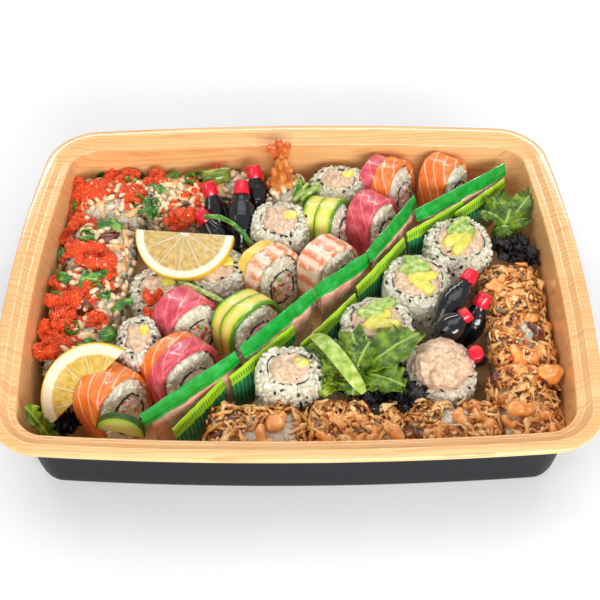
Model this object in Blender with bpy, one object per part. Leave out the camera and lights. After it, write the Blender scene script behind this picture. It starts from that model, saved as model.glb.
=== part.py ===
"""Filled takeaway sushi tray: one thin tray and the food and packs that lie in it."""
import math
import random

import bmesh
import bpy
from mathutils import Matrix, Vector

for old in list(bpy.data.objects):
    bpy.data.objects.remove(old, do_unlink=True)

# Sizes and places are in millimetres and degrees, and MM turns them into metres
MM = 0.001

# Tray
TRAY_LENGTH = 360.0
TRAY_DEPTH = 272.0
TRAY_HEIGHT = 66.0
TRAY_CORNER = 28.6
END_BOW = 9.5
SIDE_BOW = 7.0
WALL_INSET_TOP = 14.6
WALL_INSET_BASE = 18.7
WALL_THICKNESS = 1.2
FLOOR_TOP = 1.2
CORNER_STEPS = 4
LONG_STEPS = 4
SHORT_STEPS = 3

# Food stands just clear of the floor
FOOD_BASE = 1.6
RICE_HEIGHT = 42.0
FISH_SLAB = 3.6
OUTLINE_POINTS = 12
ARCH_POWER = 2.7
ROE_HEAP = 1.0
ONION_HEAP = 5.0

# Topped rolls: place, turn of the cut face, length, width, height, and where a second slab starts
TOPPED_ROLLS = {
    "salmon_roll_front": (-108, -78, -36, 26, 42, 51, None),
    "tuna_salmon_roll_front": (-68, -57, -46, 26, 44, 51, 0.1),
    "tuna_roll_left": (-68, -19, -46, 26, 40, 50, None),
    "avocado_roll_left": (-28, -21, -46, 25, 43, 50, 0.0),
    "prawn_mango_roll": (-15, 22, -46, 25, 38, 50, -0.2),
    "prawn_roll": (25, 24, -46, 25, 39, 52, None),
    "avocado_tuna_roll": (25, 66, -22, 27, 34, 51, 0.2),
    "tuna_roll_right": (57, 65, -42, 25, 33, 54, None),
    "tuna_salmon_roll_back": (69, 97, -33, 28, 35, 57, -0.2),
    "salmon_roll_back": (109.4, 98.7, -40, 26, 31.5, 57, None),
}

# Rolls that stand on end with the cut face up: place, turn, length, width, height, mound
STANDING_ROLLS = {
    "mayo_roll_back": (29, 98, 0, 37, 28, 45, 1.5),
    "mayo_roll_middle": (-11, 58, 0, 38, 36, 45, 2.0),
    "mayo_roll_left": (-53, 25, 0, 36, 36, 36, 1.0),
    "mayo_roll_lemon": (-91, 8, 0, 38, 38, 34, 1.0),
    "mayo_roll_front": (-98, -39.5, 10, 24, 34, 44, 2.0),
    "garden_roll_back": (108, 38, 20, 42, 40, 45, 1.0),
    "garden_roll_middle": (78.5, 6.5, -10, 42, 40, 43, 1.0),
    "garden_roll_front": (50.5, -30.5, 10, 43, 40, 46, 1.0),
    "tuna_avocado_roll": (-4, -66, 0, 39, 33, 47, 2.0),
    "tuna_mound_roll": (87.5, -60, 0, 42, 41, 38, 15.0),
}

# Rolls under flying-fish roe: place, turn, length, width, height
ROE_ROLLS = {
    "roe_roll_1": (-137, -36, 90, 36, 46, 46),
    "roe_roll_2": (-137, 2, 90, 39, 47, 46),
    "roe_roll_3": (-136, 42, 90, 39, 47, 46),
    "roe_roll_corner": (-131, 88.5, 0, 46, 45, 47),
    "roe_roll_back": (-86, 91, 0, 42, 45, 46),
    "roe_roll_end": (-49, 105, 0, 31, 20, 47),
    "tempura_roll": (-7, 95, 0, 24, 37, 44),
}

# Rolls under fried onion: place, turn, length, width, height
ONION_ROLLS = {
    "onion_roll_back": (141, 3, 90, 38, 38, 44),
    "onion_roll_side": (141, -37, 90, 39, 38, 44),
    "onion_roll_corner": (137, -83, 90, 49, 38, 44),
    "onion_roll_right": (90, -97, 0, 53, 32, 44),
    "onion_roll_middle": (34, -97, 0, 54, 32, 44),
    "onion_roll_left": (-24, -99, 0, 54, 31, 44),
}

# Ginger packs: middle of the top edge, turn, length, top, bottom
GINGER_PACKS = {
    "ginger_pack_1": (-63, -77, 40, 67, 54, 8),
    "ginger_pack_2": (-12, -30, 46, 61, 55, 10),
    "ginger_pack_3": (28, 8, 40, 43, 55, 12),
    "ginger_pack_4": (63, 49, 56, 60, 55, 10),
    "ginger_pack_5": (113, 83, 34, 78, 55, 10),
}
GINGER_BAND = 8.0
GINGER_BAND_LEAN = 4.0
GINGER_BELLY = 5.0

# Paste sachets: middle of the top edge, turn, length, top, bottom
PASTE_SACHETS = {
    "paste_sachet_1": (-57.6, -86.6, 52, 44, 46, 5),
    "paste_sachet_2": (-21, -50, 46, 54, 48, 6),
    "paste_sachet_3": (20, -26, 49, 53, 48, 6),
    "paste_sachet_4": (55, 20, 52, 54, 49, 6),
    "paste_sachet_5": (94, 60, 36, 50, 49, 8),
    "paste_sachet_6": (127, 80, 41, 50, 49, 10),
}
SACHET_BAND = 6.0
SACHET_BAND_LEAN = 2.0
SACHET_BELLY = 2.6

# Fish-shaped soy bottles: middle of the cap's end, tip of the tail
SOY_BOTTLES = {
    "soy_bottle_1": ((-62, 91, 54), (-50, 62, 16)),
    "soy_bottle_2": ((-38, 88, 57), (-38, 47, 33)),
    "soy_bottle_3": ((-30, 105, 56), (-27, 76, 22)),
    "soy_bottle_4": ((-68, 69, 48), (-37, 45, 18)),
    "soy_bottle_5": ((113, 6, 55), (88, -27, 40)),
    "soy_bottle_6": ((120, -9, 50), (104, -27, 16)),
    "soy_bottle_7": ((107, -28, 56), (85, -38, 42)),
    "soy_bottle_8": ((109, -52, 47), (113.5, -33, 10)),
}
BOTTLE_STATIONS = (
    (0.00, 4.6, 4.6), (0.02, 5.2, 5.2), (0.19, 5.8, 5.8), (0.20, 4.0, 4.0), (0.25, 4.6, 4.3),
    (0.38, 7.6, 6.0), (0.56, 8.6, 6.8), (0.74, 7.0, 5.6), (0.88, 3.6, 2.8), (1.00, 4.4, 1.3),
)
BOTTLE_SIDES = 7

LEMON_RADIUS = 33.0
LEMON_THICKNESS = 7.0
CUCUMBER_RADIUS = 15.0
CUCUMBER_THICKNESS = 4.0
STALK_RADIUS = 1.7

LEAF_ROWS = 5
LEAF_COLUMNS = 3
LEAF_THICKNESS = 1.0


def material(name, colour, roughness, metallic=0.0):
    """A plain Principled material in the part's own colour."""
    made = bpy.data.materials.new(name)
    made.use_nodes = True
    shader = made.node_tree.nodes["Principled BSDF"]
    shader.inputs["Base Color"].default_value = (*colour, 1.0)
    shader.inputs["Roughness"].default_value = roughness
    shader.inputs["Metallic"].default_value = metallic
    return made


def outward(shape):
    """Turn every face of a closed bmesh to point out."""
    bmesh.ops.recalc_face_normals(shape, faces=shape.faces)
    if shape.calc_volume(signed=True) < 0.0:
        bmesh.ops.reverse_faces(shape, faces=shape.faces)


def mesh_from(name, points, faces):
    """A closed mesh in metres from points in millimetres."""
    shape = bmesh.new()
    corners = [shape.verts.new(Vector(point) * MM) for point in points]
    for face in faces:
        shape.faces.new([corners[index] for index in face])
    outward(shape)
    mesh = bpy.data.meshes.new(name)
    shape.to_mesh(mesh)
    shape.free()
    return mesh


def add_object(name, mesh, finish, place=(0, 0, 0), turn=0.0, crease=40.0):
    """Put a mesh in the scene, turned about its own upright axis."""
    mesh.shade_smooth()
    mesh.set_sharp_from_angle(angle=math.radians(crease))
    mesh.materials.clear()
    mesh.materials.append(finish)
    made = bpy.data.objects.new(name, mesh)
    made.location = Vector(place) * MM
    made.rotation_euler.z = math.radians(turn)
    bpy.context.scene.collection.objects.link(made)
    return made


def loft(rings):
    """Points and faces of a closed skin through rings of the same count, with capped ends."""
    count = len(rings[0])
    points = [point for ring in rings for point in ring]
    faces = []
    for row in range(len(rings) - 1):
        for step in range(count):
            near = row * count + step
            beside = row * count + (step + 1) % count
            faces.append((near, beside, beside + count, near + count))
    faces.append(tuple(reversed(range(count))))
    faces.append(tuple(range(len(points) - count, len(points))))
    return points, faces


def superellipse(half_x, half_y, power, count=OUTLINE_POINTS):
    """Points of a rounded rectangle, one for each equal step of angle."""
    points = []
    for step in range(count):
        angle = math.tau * (step + 0.5) / count
        c, s = math.cos(angle), math.sin(angle)
        points.append((half_x * math.copysign(abs(c) ** (2 / power), c),
                       half_y * math.copysign(abs(s) ** (2 / power), s)))
    return points


def fuse(core, toppings):
    """Join toppings to a core with one Boolean union, and drop any scrap that stays loose."""
    scene = bpy.context.scene.collection
    group = bpy.data.collections.new(core.name + "_toppings")
    scene.children.link(group)
    for mesh in toppings:
        made = bpy.data.objects.new("topping", mesh)
        made.location = core.location
        made.rotation_euler = core.rotation_euler
        group.objects.link(made)
    union = core.modifiers.new("union", "BOOLEAN")
    union.operation = "UNION"
    union.operand_type = "COLLECTION"
    union.collection = group
    union.solver = "MANIFOLD"
    bpy.context.view_layer.update()
    state = bpy.context.evaluated_depsgraph_get()
    joined = bpy.data.meshes.new_from_object(core.evaluated_get(state))
    core.modifiers.remove(union)
    for made in list(group.objects):
        bpy.data.objects.remove(made, do_unlink=True)
    bpy.data.collections.remove(group)
    keep_main_body(joined)
    finish = core.data.materials[0]
    joined.materials.clear()
    joined.materials.append(finish)
    joined.set_sharp_from_angle(angle=math.radians(40.0))
    core.data = joined


def keep_main_body(mesh):
    """Keep the largest connected body of a mesh."""
    shape = bmesh.new()
    shape.from_mesh(mesh)
    bmesh.ops.remove_doubles(shape, verts=shape.verts, dist=0.02 * MM)
    bmesh.ops.dissolve_degenerate(shape, edges=shape.edges, dist=0.01 * MM)
    waiting = set(shape.verts)
    bodies = []
    while waiting:
        front = [waiting.pop()]
        body = set(front)
        while front:
            for edge in front.pop().link_edges:
                for vert in edge.verts:
                    if vert in waiting:
                        waiting.remove(vert)
                        body.add(vert)
                        front.append(vert)
        bodies.append(body)
    bodies.sort(key=len, reverse=True)
    scraps = [vert for body in bodies[1:] for vert in body]
    bmesh.ops.delete(shape, geom=scraps, context="VERTS")
    bmesh.ops.triangulate(shape, faces=shape.faces)
    outward(shape)
    shape.to_mesh(mesh)
    shape.free()


# Tray

def tray_outline(inset):
    """Points round the tray at a distance in from its rim, with its sides bowed outwards."""
    half_x = TRAY_LENGTH / 2 - inset
    half_y = TRAY_DEPTH / 2 - inset
    radius = max(TRAY_CORNER - inset, 8.0)
    corners = ((1, 1, 0.0), (-1, 1, 90.0), (-1, -1, 180.0), (1, -1, 270.0))
    plain = []
    for number, (side_x, side_y, start) in enumerate(corners):
        centre = Vector((side_x * (half_x - radius), side_y * (half_y - radius)))
        for step in range(CORNER_STEPS + 1):
            angle = math.radians(start + 90.0 * step / CORNER_STEPS)
            plain.append(centre + radius * Vector((math.cos(angle), math.sin(angle))))
        next_x, next_y, _ = corners[(number + 1) % 4]
        steps = LONG_STEPS if next_y == side_y else SHORT_STEPS
        begin = plain[-1]
        after = Vector((next_x * (half_x - radius), next_y * (half_y - radius)))
        after += radius * Vector((math.cos(math.radians(start + 90.0)), math.sin(math.radians(start + 90.0))))
        for step in range(1, steps):
            plain.append(begin.lerp(after, step / steps))
    bowed = []
    for x, y in plain:
        bow_x = END_BOW * (y / (TRAY_DEPTH / 2)) ** 2 * x / (TRAY_LENGTH / 2)
        bow_y = SIDE_BOW * (x / (TRAY_LENGTH / 2)) ** 2 * y / (TRAY_DEPTH / 2)
        bowed.append((x - bow_x, y - bow_y))
    return bowed


def build_tray():
    """One lofted shell from the underside, up the outer wall, over the rim and down inside."""
    top = TRAY_HEIGHT
    outer_top = WALL_INSET_TOP - WALL_THICKNESS
    outer_base = WALL_INSET_BASE - WALL_THICKNESS
    profile = (
        (outer_base + 6.0, 0.0), (outer_base + 1.6, 0.7), (outer_base, 3.6),
        (outer_top, top - 7.0), (outer_top - 2.0, top - 6.2), (5.6, top - 1.4), (1.4, top - 1.4),
        (1.3, top - 4.0), (0.2, top - 4.0), (0.0, top - 1.4), (1.0, top - 0.1), (5.8, top),
        (7.2, top - 0.8), (11.0, top - 4.5), (12.2, top - 4.9), (WALL_INSET_TOP - 0.5, top - 5.0),
        (WALL_INSET_TOP + 0.6, top - 6.2), (WALL_INSET_BASE - 0.3, 6.0),
        (WALL_INSET_BASE + 1.0, 2.6), (WALL_INSET_BASE + 4.2, FLOOR_TOP),
    )
    rings = [[(x, y, height) for x, y in tray_outline(inset)] for inset, height in profile]
    points, faces = loft(rings)
    finish = material("wood_print_plastic", (0.91, 0.62, 0.32), 0.18)
    add_object("tray", mesh_from("tray", points, faces), finish, crease=50.0)


# Rolls

def arch(width, height, thickness=0.0, count=OUTLINE_POINTS):
    """Section of a roll lying on its side, with a slab over its upper part."""
    section = []
    for side, up in superellipse(width / 2, height / 2, ARCH_POWER, count):
        rise = up / (height / 2)
        cover = thickness * min(1.0, max(0.0, (rise + 0.45) * 1.6))
        swell = 1.0 + cover / (0.5 * (width + height) / 2)
        section.append((side * swell, max(height / 2 + up * swell, 0.0)))
    return section


def topped_roll(name, x, y, turn, length, width, height, second, finish):
    """A rice roll with one or two slabs draped over it, its cut face along local X."""
    rice = (width - 2 * FISH_SLAB, height - FISH_SLAB)
    ends = [(-0.5, 0.90, 0.0), (-0.44, 1.0, 0.7), (-0.36, 1.0, FISH_SLAB)]
    if second is not None:
        ends += [(second - 0.03, 1.0, FISH_SLAB * 0.75), (second + 0.03, 1.0, FISH_SLAB)]
    ends += [(0.30, 1.0, FISH_SLAB), (0.37, 1.0, FISH_SLAB * 0.4), (0.38, 0.97, 0.0), (0.5, 0.92, 0.0)]
    rings = []
    for along, size, slab in ends:
        section = arch(rice[0] * size, rice[1] * size, slab)
        drop = rice[1] * (1.0 - size) * 0.5
        rings.append([(along * length, side, up + drop) for side, up in section])
    points, faces = loft(rings)
    add_object(name, mesh_from(name, points, faces), finish, (x, y, FOOD_BASE), turn)


def standing_roll(name, x, y, turn, length, width, height, mound, finish):
    """A roll on its end: a ring of rice, a dip at the seaweed and a mound of filling."""
    draw = random.Random(name)
    uneven = [1.0 - 0.07 * draw.random() for _ in range(OUTLINE_POINTS)]
    levels = [(0.0, 0.90), (2.5, 0.98), (height * 0.5, 1.0), (height - 3.5, 0.98), (height - 0.4, 0.84),
              (height - 0.8, 0.60), (height + mound * 0.7, 0.42)]
    if mound > 5.0:
        levels[-1:] = [(height + mound * 0.45, 0.74), (height + mound * 0.85, 0.5)]
    rings = []
    for up, size in levels:
        outline = superellipse(length / 2 * size, width / 2 * size, 2.8)
        lift = [0.8 * draw.random() - 0.4 if up > height - 4 else 0.0 for _ in outline]
        rings.append([(px * k, py * k, up + dz) for (px, py), k, dz in zip(outline, uneven, lift)])
    points, faces = loft(rings)
    faces.pop()
    points.append((0.0, 0.0, height + mound))
    top = len(points) - 1
    last = top - OUTLINE_POINTS
    for step in range(OUTLINE_POINTS):
        faces.append((last + step, last + (step + 1) % OUTLINE_POINTS, top))
    add_object(name, mesh_from(name, points, faces), finish, (x, y, FOOD_BASE), turn)


def rice_block(name, x, y, turn, length, width, height, heap, finish):
    """The rice body of a roll that carries toppings, lying along local X under an uneven heap."""
    draw = random.Random(name + "_heap")
    rings = []
    for along, size in ((-0.5, 0.88), (-0.42, 0.98), (-0.14, 1.0), (0.14, 1.0), (0.42, 0.98), (0.5, 0.88)):
        section = arch(width * size, height * size)
        crown = heap * (1.0 - (2 * along) ** 4)
        rings.append([(along * length, side, up + height * (1 - size) * 0.5
                       + (crown * (0.7 + 0.5 * draw.random()) if up > height * 0.75 else 0.0))
                      for side, up in section])
    points, faces = loft(rings)
    return add_object(name, mesh_from(name, points, faces), finish, (x, y, FOOD_BASE), turn)


def surface_height(side, width, height):
    """Height of a rice block's top at a distance from its middle line."""
    share = min(abs(side) / (width / 2), 0.98)
    return height / 2 * (1.0 + (1.0 - share ** ARCH_POWER) ** (1 / ARCH_POWER))


def lump(size, spin, centre, draw, detail=1, rough=0.12):
    """A rounded clump: an icosphere pushed in and out a little."""
    shape = bmesh.new()
    bmesh.ops.create_icosphere(shape, subdivisions=detail, radius=1.0)
    turn = Matrix.Rotation(spin, 4, "Z")
    for vert in shape.verts:
        reach = 1.0 + rough * (2 * draw.random() - 1)
        vert.co = Vector((vert.co.x * size[0], vert.co.y * size[1], vert.co.z * size[2])) * reach
        vert.co = (turn @ vert.co + Vector(centre)) * MM
    mesh = bpy.data.meshes.new("lump")
    shape.to_mesh(mesh)
    shape.free()
    return mesh


def grain(length, thickness, spin, centre):
    """A puffed grain: a long six-sided spindle."""
    rings = []
    for along, size in ((-0.5, 0.45), (0.0, 1.0), (0.5, 0.45)):
        ring = [(along * length, thickness / 2 * size * math.cos(math.tau * k / 5),
                 thickness / 2 * size * math.sin(math.tau * k / 5)) for k in range(5)]
        rings.append(ring)
    points, faces = loft(rings)
    place = Matrix.Translation(centre) @ Matrix.Rotation(spin, 4, "Z")
    return mesh_from("grain", [place @ Vector(point) for point in points], faces)


def onion_ring(radius, tall, wall, spin, centre):
    """A cut ring of green onion: a short tube standing or lying on the roll."""
    sides = 6
    rings = []
    for reach, up in ((radius, 0.0), (radius, tall), (radius - wall, tall), (radius - wall, 0.0)):
        rings.append([(reach * math.cos(math.tau * k / sides), reach * math.sin(math.tau * k / sides),
                       up - tall / 2) for k in range(sides)])
    points = [point for ring in rings for point in ring]
    faces = []
    for row in range(4):
        for step in range(sides):
            near, beside = row * sides + step, row * sides + (step + 1) % sides
            across = ((row + 1) % 4) * sides
            faces.append((near, beside, across + (step + 1) % sides, across + step))
    place = Matrix.Translation(centre) @ Matrix.Rotation(spin, 4, "Z") @ Matrix.Rotation(0.5, 4, "X")
    return mesh_from("onion_ring", [place @ Vector(point) for point in points], faces)


def shred(length, width, thickness, bend, spin, pitch, centre):
    """A fried onion shred: a thin strip that arches over its length."""
    rings = []
    for along in (-0.5, 0.0, 0.5):
        rise = bend * (0.25 - along * along) * 4
        size = 1.0 - 0.9 * abs(along)
        rings.append([(along * length, width / 2 * size, rise - thickness / 2),
                      (along * length, width / 2 * size, rise + thickness / 2),
                      (along * length, -width / 2 * size, rise + thickness / 2),
                      (along * length, -width / 2 * size, rise - thickness / 2)])
    points, faces = loft(rings)
    place = Matrix.Translation(centre) @ Matrix.Rotation(spin, 4, "Z") @ Matrix.Rotation(pitch, 4, "Y")
    return mesh_from("shred", [place @ Vector(point) for point in points], faces)


def roe_toppings(name, length, width, height):
    """Roe clumps, puffed grains and onion rings, spread over the top of one roll."""
    draw = random.Random(name)
    made = []
    clumps = 2 if width > 30 else 1
    for number in range(clumps):
        along = length * (-0.22 + 0.44 * number + 0.06 * draw.random())
        side = width * (0.20 - 0.34 * number)
        reach = min(8.5, length / 2 - abs(along) - 0.5)
        top = surface_height(side, width, height)
        made.append(lump((reach, 8.0, 5.0), draw.random(), (along, side, top + 1.2), draw, 1, 0.08))
    for number in range(3):
        along = length * (-0.36 + 0.72 * ((number * 0.4) % 1.0))
        side = width * (-0.34 + 0.68 * ((number * 0.62 + 0.2) % 1.0))
        top = surface_height(side, width, height)
        made.append(grain(7.0, 3.8, draw.random() * math.pi, (along, side, top + 0.6)))
    top = surface_height(width * 0.28, width, height)
    made.append(onion_ring(4.4, 4.0, 1.1, draw.random() * 3, (length * 0.22, -width * 0.28, top + 1.4)))
    return made


def onion_toppings(name, length, width, height):
    """The bigger shreds of fried onion that stand out of the heap."""
    draw = random.Random(name)
    made = []
    for number in range(6):
        along = length * (-0.34 + 0.68 * ((number * 0.62) % 1.0))
        side = width * (-0.26 + 0.52 * ((number * 0.38 + 0.3) % 1.0))
        span = min(15.0, 2.4 * (width / 2 - abs(side)))
        top = surface_height(side, width, height) + ONION_HEAP * 0.8
        made.append(shred(span, 3.6, 1.6, 2.0, draw.random() * math.pi, 0.5 * draw.random() - 0.25,
                          (along, side, top)))
    return made


def prawn_tail():
    """The fried tail that stands out of the tempura roll, with its three fins."""
    base = Vector((-3.5, 3.0, RICE_HEIGHT - 4.0))
    rings = []
    for up, radius, back in ((0.0, 8.5, 0.0), (8.0, 7.6, 2.0), (16.0, 5.6, 5.0), (24.0, 3.6, 8.5)):
        rings.append([base + Vector((radius * math.cos(math.tau * k / 7),
                                     back + 0.8 * radius * math.sin(math.tau * k / 7), up)) for k in range(7)])
    points, faces = loft(rings)
    made = [mesh_from("tail", points, faces)]
    for lean, reach in ((-0.55, 0.86), (-0.1, 1.0), (0.3, 0.9)):
        fin = []
        for along, half in ((0.0, 1.6), (0.55, 3.2), (1.0, 0.8)):
            rise = along * 20.0 * reach
            middle = base + Vector((math.sin(lean) * rise, 7.5 + 0.2 * rise, 18.0 + math.cos(lean) * rise))
            fin.append([middle + Vector((-half, -0.8, 0.0)), middle + Vector((half, -0.8, 0.0)),
                        middle + Vector((half, 0.8, 0.0)), middle + Vector((-half, 0.8, 0.0))])
        points, faces = loft(fin)
        made.append(mesh_from("fin", points, faces))
    return made


def build_rolls():
    """Every roll, row by row."""
    slab_colours = {"salmon": (0.87, 0.24, 0.07), "tuna": (0.62, 0.09, 0.12),
                    "avocado": (0.70, 0.72, 0.16), "prawn": (0.87, 0.55, 0.38)}
    slabs = {kind: material(kind + "_slab", colour, 0.35) for kind, colour in slab_colours.items()}
    for name, size in TOPPED_ROLLS.items():
        topped_roll(name, *size, slabs[name.split("_")[0]])
    mixed_rice = material("seeded_rice", (0.66, 0.64, 0.54), 0.6)
    for name, size in STANDING_ROLLS.items():
        standing_roll(name, *size, mixed_rice)
    roe = material("roe_on_rice", (0.80, 0.13, 0.03), 0.35)
    for name, size in ROE_ROLLS.items():
        core = rice_block(name, *size, ROE_HEAP, roe)
        toppings = roe_toppings(name, *size[3:])
        if name == "tempura_roll":
            toppings += prawn_tail()
        fuse(core, toppings)
    onion = material("fried_onion_on_rice", (0.60, 0.29, 0.11), 0.6)
    for name, size in ONION_ROLLS.items():
        core = rice_block(name, *size, ONION_HEAP, onion)
        fuse(core, onion_toppings(name, *size[3:]))


# Lemon, cucumber and onion stalk

def half_slice(name, radius, thickness, centre, straight, rise, trim, finish, steps=12):
    """Half a round slice. Its straight side runs along one direction, and its arc along another.

    The straight side can be trimmed back from the middle of the round.
    """
    along = Vector(straight).normalized()
    across = Vector(rise)
    across = (across - along * across.dot(along)).normalized()
    normal = along.cross(across)
    if normal.z < 0:
        normal = -normal
    start = math.asin(trim / radius)
    rings = []
    for up, size in ((-1.0, 0.965), (-0.86, 1.0), (-0.14, 1.0), (0.0, 0.965)):
        ring = []
        for step in range(steps + 1):
            angle = start + (math.pi - 2 * start) * step / steps
            ring.append((along * math.cos(angle) + across * math.sin(angle)) * radius * size
                        + normal * thickness * up)
        rings.append(ring)
    points, faces = loft(rings)
    add_object(name, mesh_from(name, points, faces), finish, centre)


def bent_stalk(name, route, radius, finish, sides=6):
    """A round stalk along a bent route."""
    rings = []
    for number, point in enumerate(route):
        ahead = Vector(route[min(number + 1, len(route) - 1)])
        behind = Vector(route[max(number - 1, 0)])
        heading = (ahead - behind).normalized()
        level = heading.cross(Vector((0, 0, 1))).normalized()
        upright = level.cross(heading)
        rings.append([Vector(point) + radius * (level * math.cos(math.tau * k / sides)
                                                + upright * math.sin(math.tau * k / sides))
                      for k in range(sides)])
    points, faces = loft(rings)
    middle = Vector(route[0])
    points = [point - middle for point in points]
    add_object(name, mesh_from(name, points, faces), finish, middle)


def build_garnish():
    """Two half slices of lemon, the cucumber fan and the onion stalk."""
    lemon = material("lemon", (0.90, 0.62, 0.07), 0.35)
    half_slice("lemon_slice_back", LEMON_RADIUS, LEMON_THICKNESS, (-74, 42, 55),
               (1.0, -0.10, 0.0), (0.0, -1.0, -0.36), 0.0, lemon)
    half_slice("lemon_slice_front", LEMON_RADIUS, LEMON_THICKNESS, (-118.8, -80.6, 43),
               (0.71, 0.55, 0.445), (-0.71, 0.55, 0.445), 8.0, lemon)
    cucumber = material("cucumber", (0.55, 0.66, 0.25), 0.4)
    half_slice("cucumber_fan", CUCUMBER_RADIUS, CUCUMBER_THICKNESS, (-101.5, -104.9, 43.5),
               (1.0, -0.1, 0.0), (0.0, 0.1, 1.0), 0.0, cucumber, 7)
    green = material("onion_stalk", (0.15, 0.33, 0.06), 0.4)
    bent_stalk("onion_stalk", ((-62, 58, 53), (-52, 57, 54), (-43, 53, 52), (-36, 47, 49), (-31, 41, 44)),
               STALK_RADIUS, green)


# Packs

def flat_pack(name, x, y, turn, length, top, bottom, band, lean, belly, finish, across=3):
    """An upright flat pack: a soft belly under a thin sealed band that leans back."""
    draw = random.Random(name)
    height = top - bottom
    levels = (0.0, 0.12, 0.5, 1.0 - band / height, 1.0)
    fullness = (0.0, 0.6, 1.0, 0.25, 0.0)
    fronts, backs = [], []
    for share, full in zip(levels, fullness):
        shift = 0.0 if share >= 1.0 else -lean
        for step in range(across + 1):
            place = step / across
            edge = 1.0 - abs(2 * place - 1) ** 3
            half = 0.5 + belly / 2 * full * (0.25 + 0.75 * edge)
            wave = 0.35 * math.sin(3.1 * place + draw.random())
            along = (place - 0.5) * length
            fronts.append((along, shift - half + wave, share * height))
            backs.append((along, shift + half + wave, share * height))
    row = across + 1
    rows = len(levels)
    offset = len(fronts)
    faces = []
    for level in range(rows - 1):
        for step in range(across):
            a = level * row + step
            faces.append((a, a + 1, a + 1 + row, a + row))
            faces.append((offset + a, offset + a + row, offset + a + 1 + row, offset + a + 1))
    rim = [step for step in range(row)]
    rim += [level * row + across for level in range(1, rows)]
    rim += [(rows - 1) * row + step for step in range(across - 1, -1, -1)]
    rim += [level * row for level in range(rows - 2, 0, -1)]
    for near, after in zip(rim, rim[1:] + rim[:1]):
        faces.append((near, after, offset + after, offset + near))
    add_object(name, mesh_from(name, fronts + backs, faces), finish, (x, y, bottom), turn)


def soy_bottle(name, cap, tail, finish):
    """A small fish-shaped bottle, from the end of its cap to the tip of its tail."""
    start, end = Vector(cap), Vector(tail)
    heading = (end - start).normalized()
    level = heading.cross(Vector((0, 0, 1))).normalized()
    upright = level.cross(heading)
    reach = (end - start).length
    rings = []
    for share, half_wide, half_thick in BOTTLE_STATIONS:
        rings.append([heading * reach * share
                      + level * half_wide * math.cos(math.tau * (k + 0.5) / BOTTLE_SIDES)
                      + upright * half_thick * math.sin(math.tau * (k + 0.5) / BOTTLE_SIDES)
                      for k in range(BOTTLE_SIDES)])
    points, faces = loft(rings)
    add_object(name, mesh_from(name, points, faces), finish, start)


def build_packs():
    """Ginger packs, paste sachets and soy bottles."""
    ginger = material("ginger_pack_film", (0.80, 0.42, 0.34), 0.2)
    for name, size in GINGER_PACKS.items():
        flat_pack(name, *size, GINGER_BAND, GINGER_BAND_LEAN, GINGER_BELLY, ginger)
    paste = material("paste_sachet_film", (0.02, 0.22, 0.10), 0.3)
    for name, size in PASTE_SACHETS.items():
        flat_pack(name, *size, SACHET_BAND, SACHET_BAND_LEAN, SACHET_BELLY, paste)
    bottle = material("soy_bottle_plastic", (0.012, 0.014, 0.016), 0.15)
    for name, (cap, tail) in SOY_BOTTLES.items():
        soy_bottle(name, cap, tail, bottle)


# Salad


def leaf(base, heading, rise, droop, length, width, waves, height, phase):
    """A thin wavy leaf: a sheet of triangles and the same sheet again behind it."""
    heading = math.radians(heading)
    forward = Vector((math.cos(heading), math.sin(heading), 0.0))
    level = Vector((-forward.y, forward.x, 0.0))
    shape = bmesh.new()
    middle = Vector(base)
    rows = []
    for number in range(LEAF_ROWS + 1):
        share = number / LEAF_ROWS
        slope = math.radians(rise * (1 - share) - droop * share)
        if number:
            middle = middle + (forward * math.cos(slope) + Vector((0, 0, math.sin(slope)))) * length / LEAF_ROWS
        half = width / 2 * math.sin(math.pi * (0.10 + 0.80 * share)) ** 0.8
        upward = Vector((0, 0, 1)) * math.cos(slope) - forward * math.sin(slope)
        row = []
        for column in range(LEAF_COLUMNS + 1):
            side = 2 * column / LEAF_COLUMNS - 1
            ripple = height * abs(side) ** 1.5 * math.sin(math.tau * waves * share + phase + side)
            trough = 0.18 * half * side * side
            row.append(shape.verts.new((middle + level * half * side + upward * (ripple + trough)) * MM))
        rows.append(row)
    for first, second in zip(rows, rows[1:]):
        for column in range(LEAF_COLUMNS):
            shape.faces.new((first[column], first[column + 1], second[column]))
            shape.faces.new((first[column + 1], second[column + 1], second[column]))
    shape.normal_update()
    front = list(shape.verts)
    partner = {vert: shape.verts.new(vert.co - vert.normal * LEAF_THICKNESS * MM) for vert in front}
    for face in list(shape.faces):
        shape.faces.new([partner[vert] for vert in reversed(face.verts)])
    for edge in [edge for edge in shape.edges if len(edge.link_faces) == 1]:
        one, two = edge.verts
        if one in partner and two in partner:
            shape.faces.new((one, two, partner[two]))
            shape.faces.new((one, partner[two], partner[one]))
    outward(shape)
    mesh = bpy.data.meshes.new("leaf")
    shape.to_mesh(mesh)
    shape.free()
    return mesh


def salad(name, centre, foot, leaves, finish):
    """A bunch of leaves that spring from one short foot."""
    draw = random.Random(name)
    core_mesh = lump(foot, 0.0, (0.0, 0.0, 0.0), draw, 1, 0.05)
    core = add_object(name, core_mesh, finish, centre)
    fuse(core, [leaf(*shape) for shape in leaves])


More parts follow.
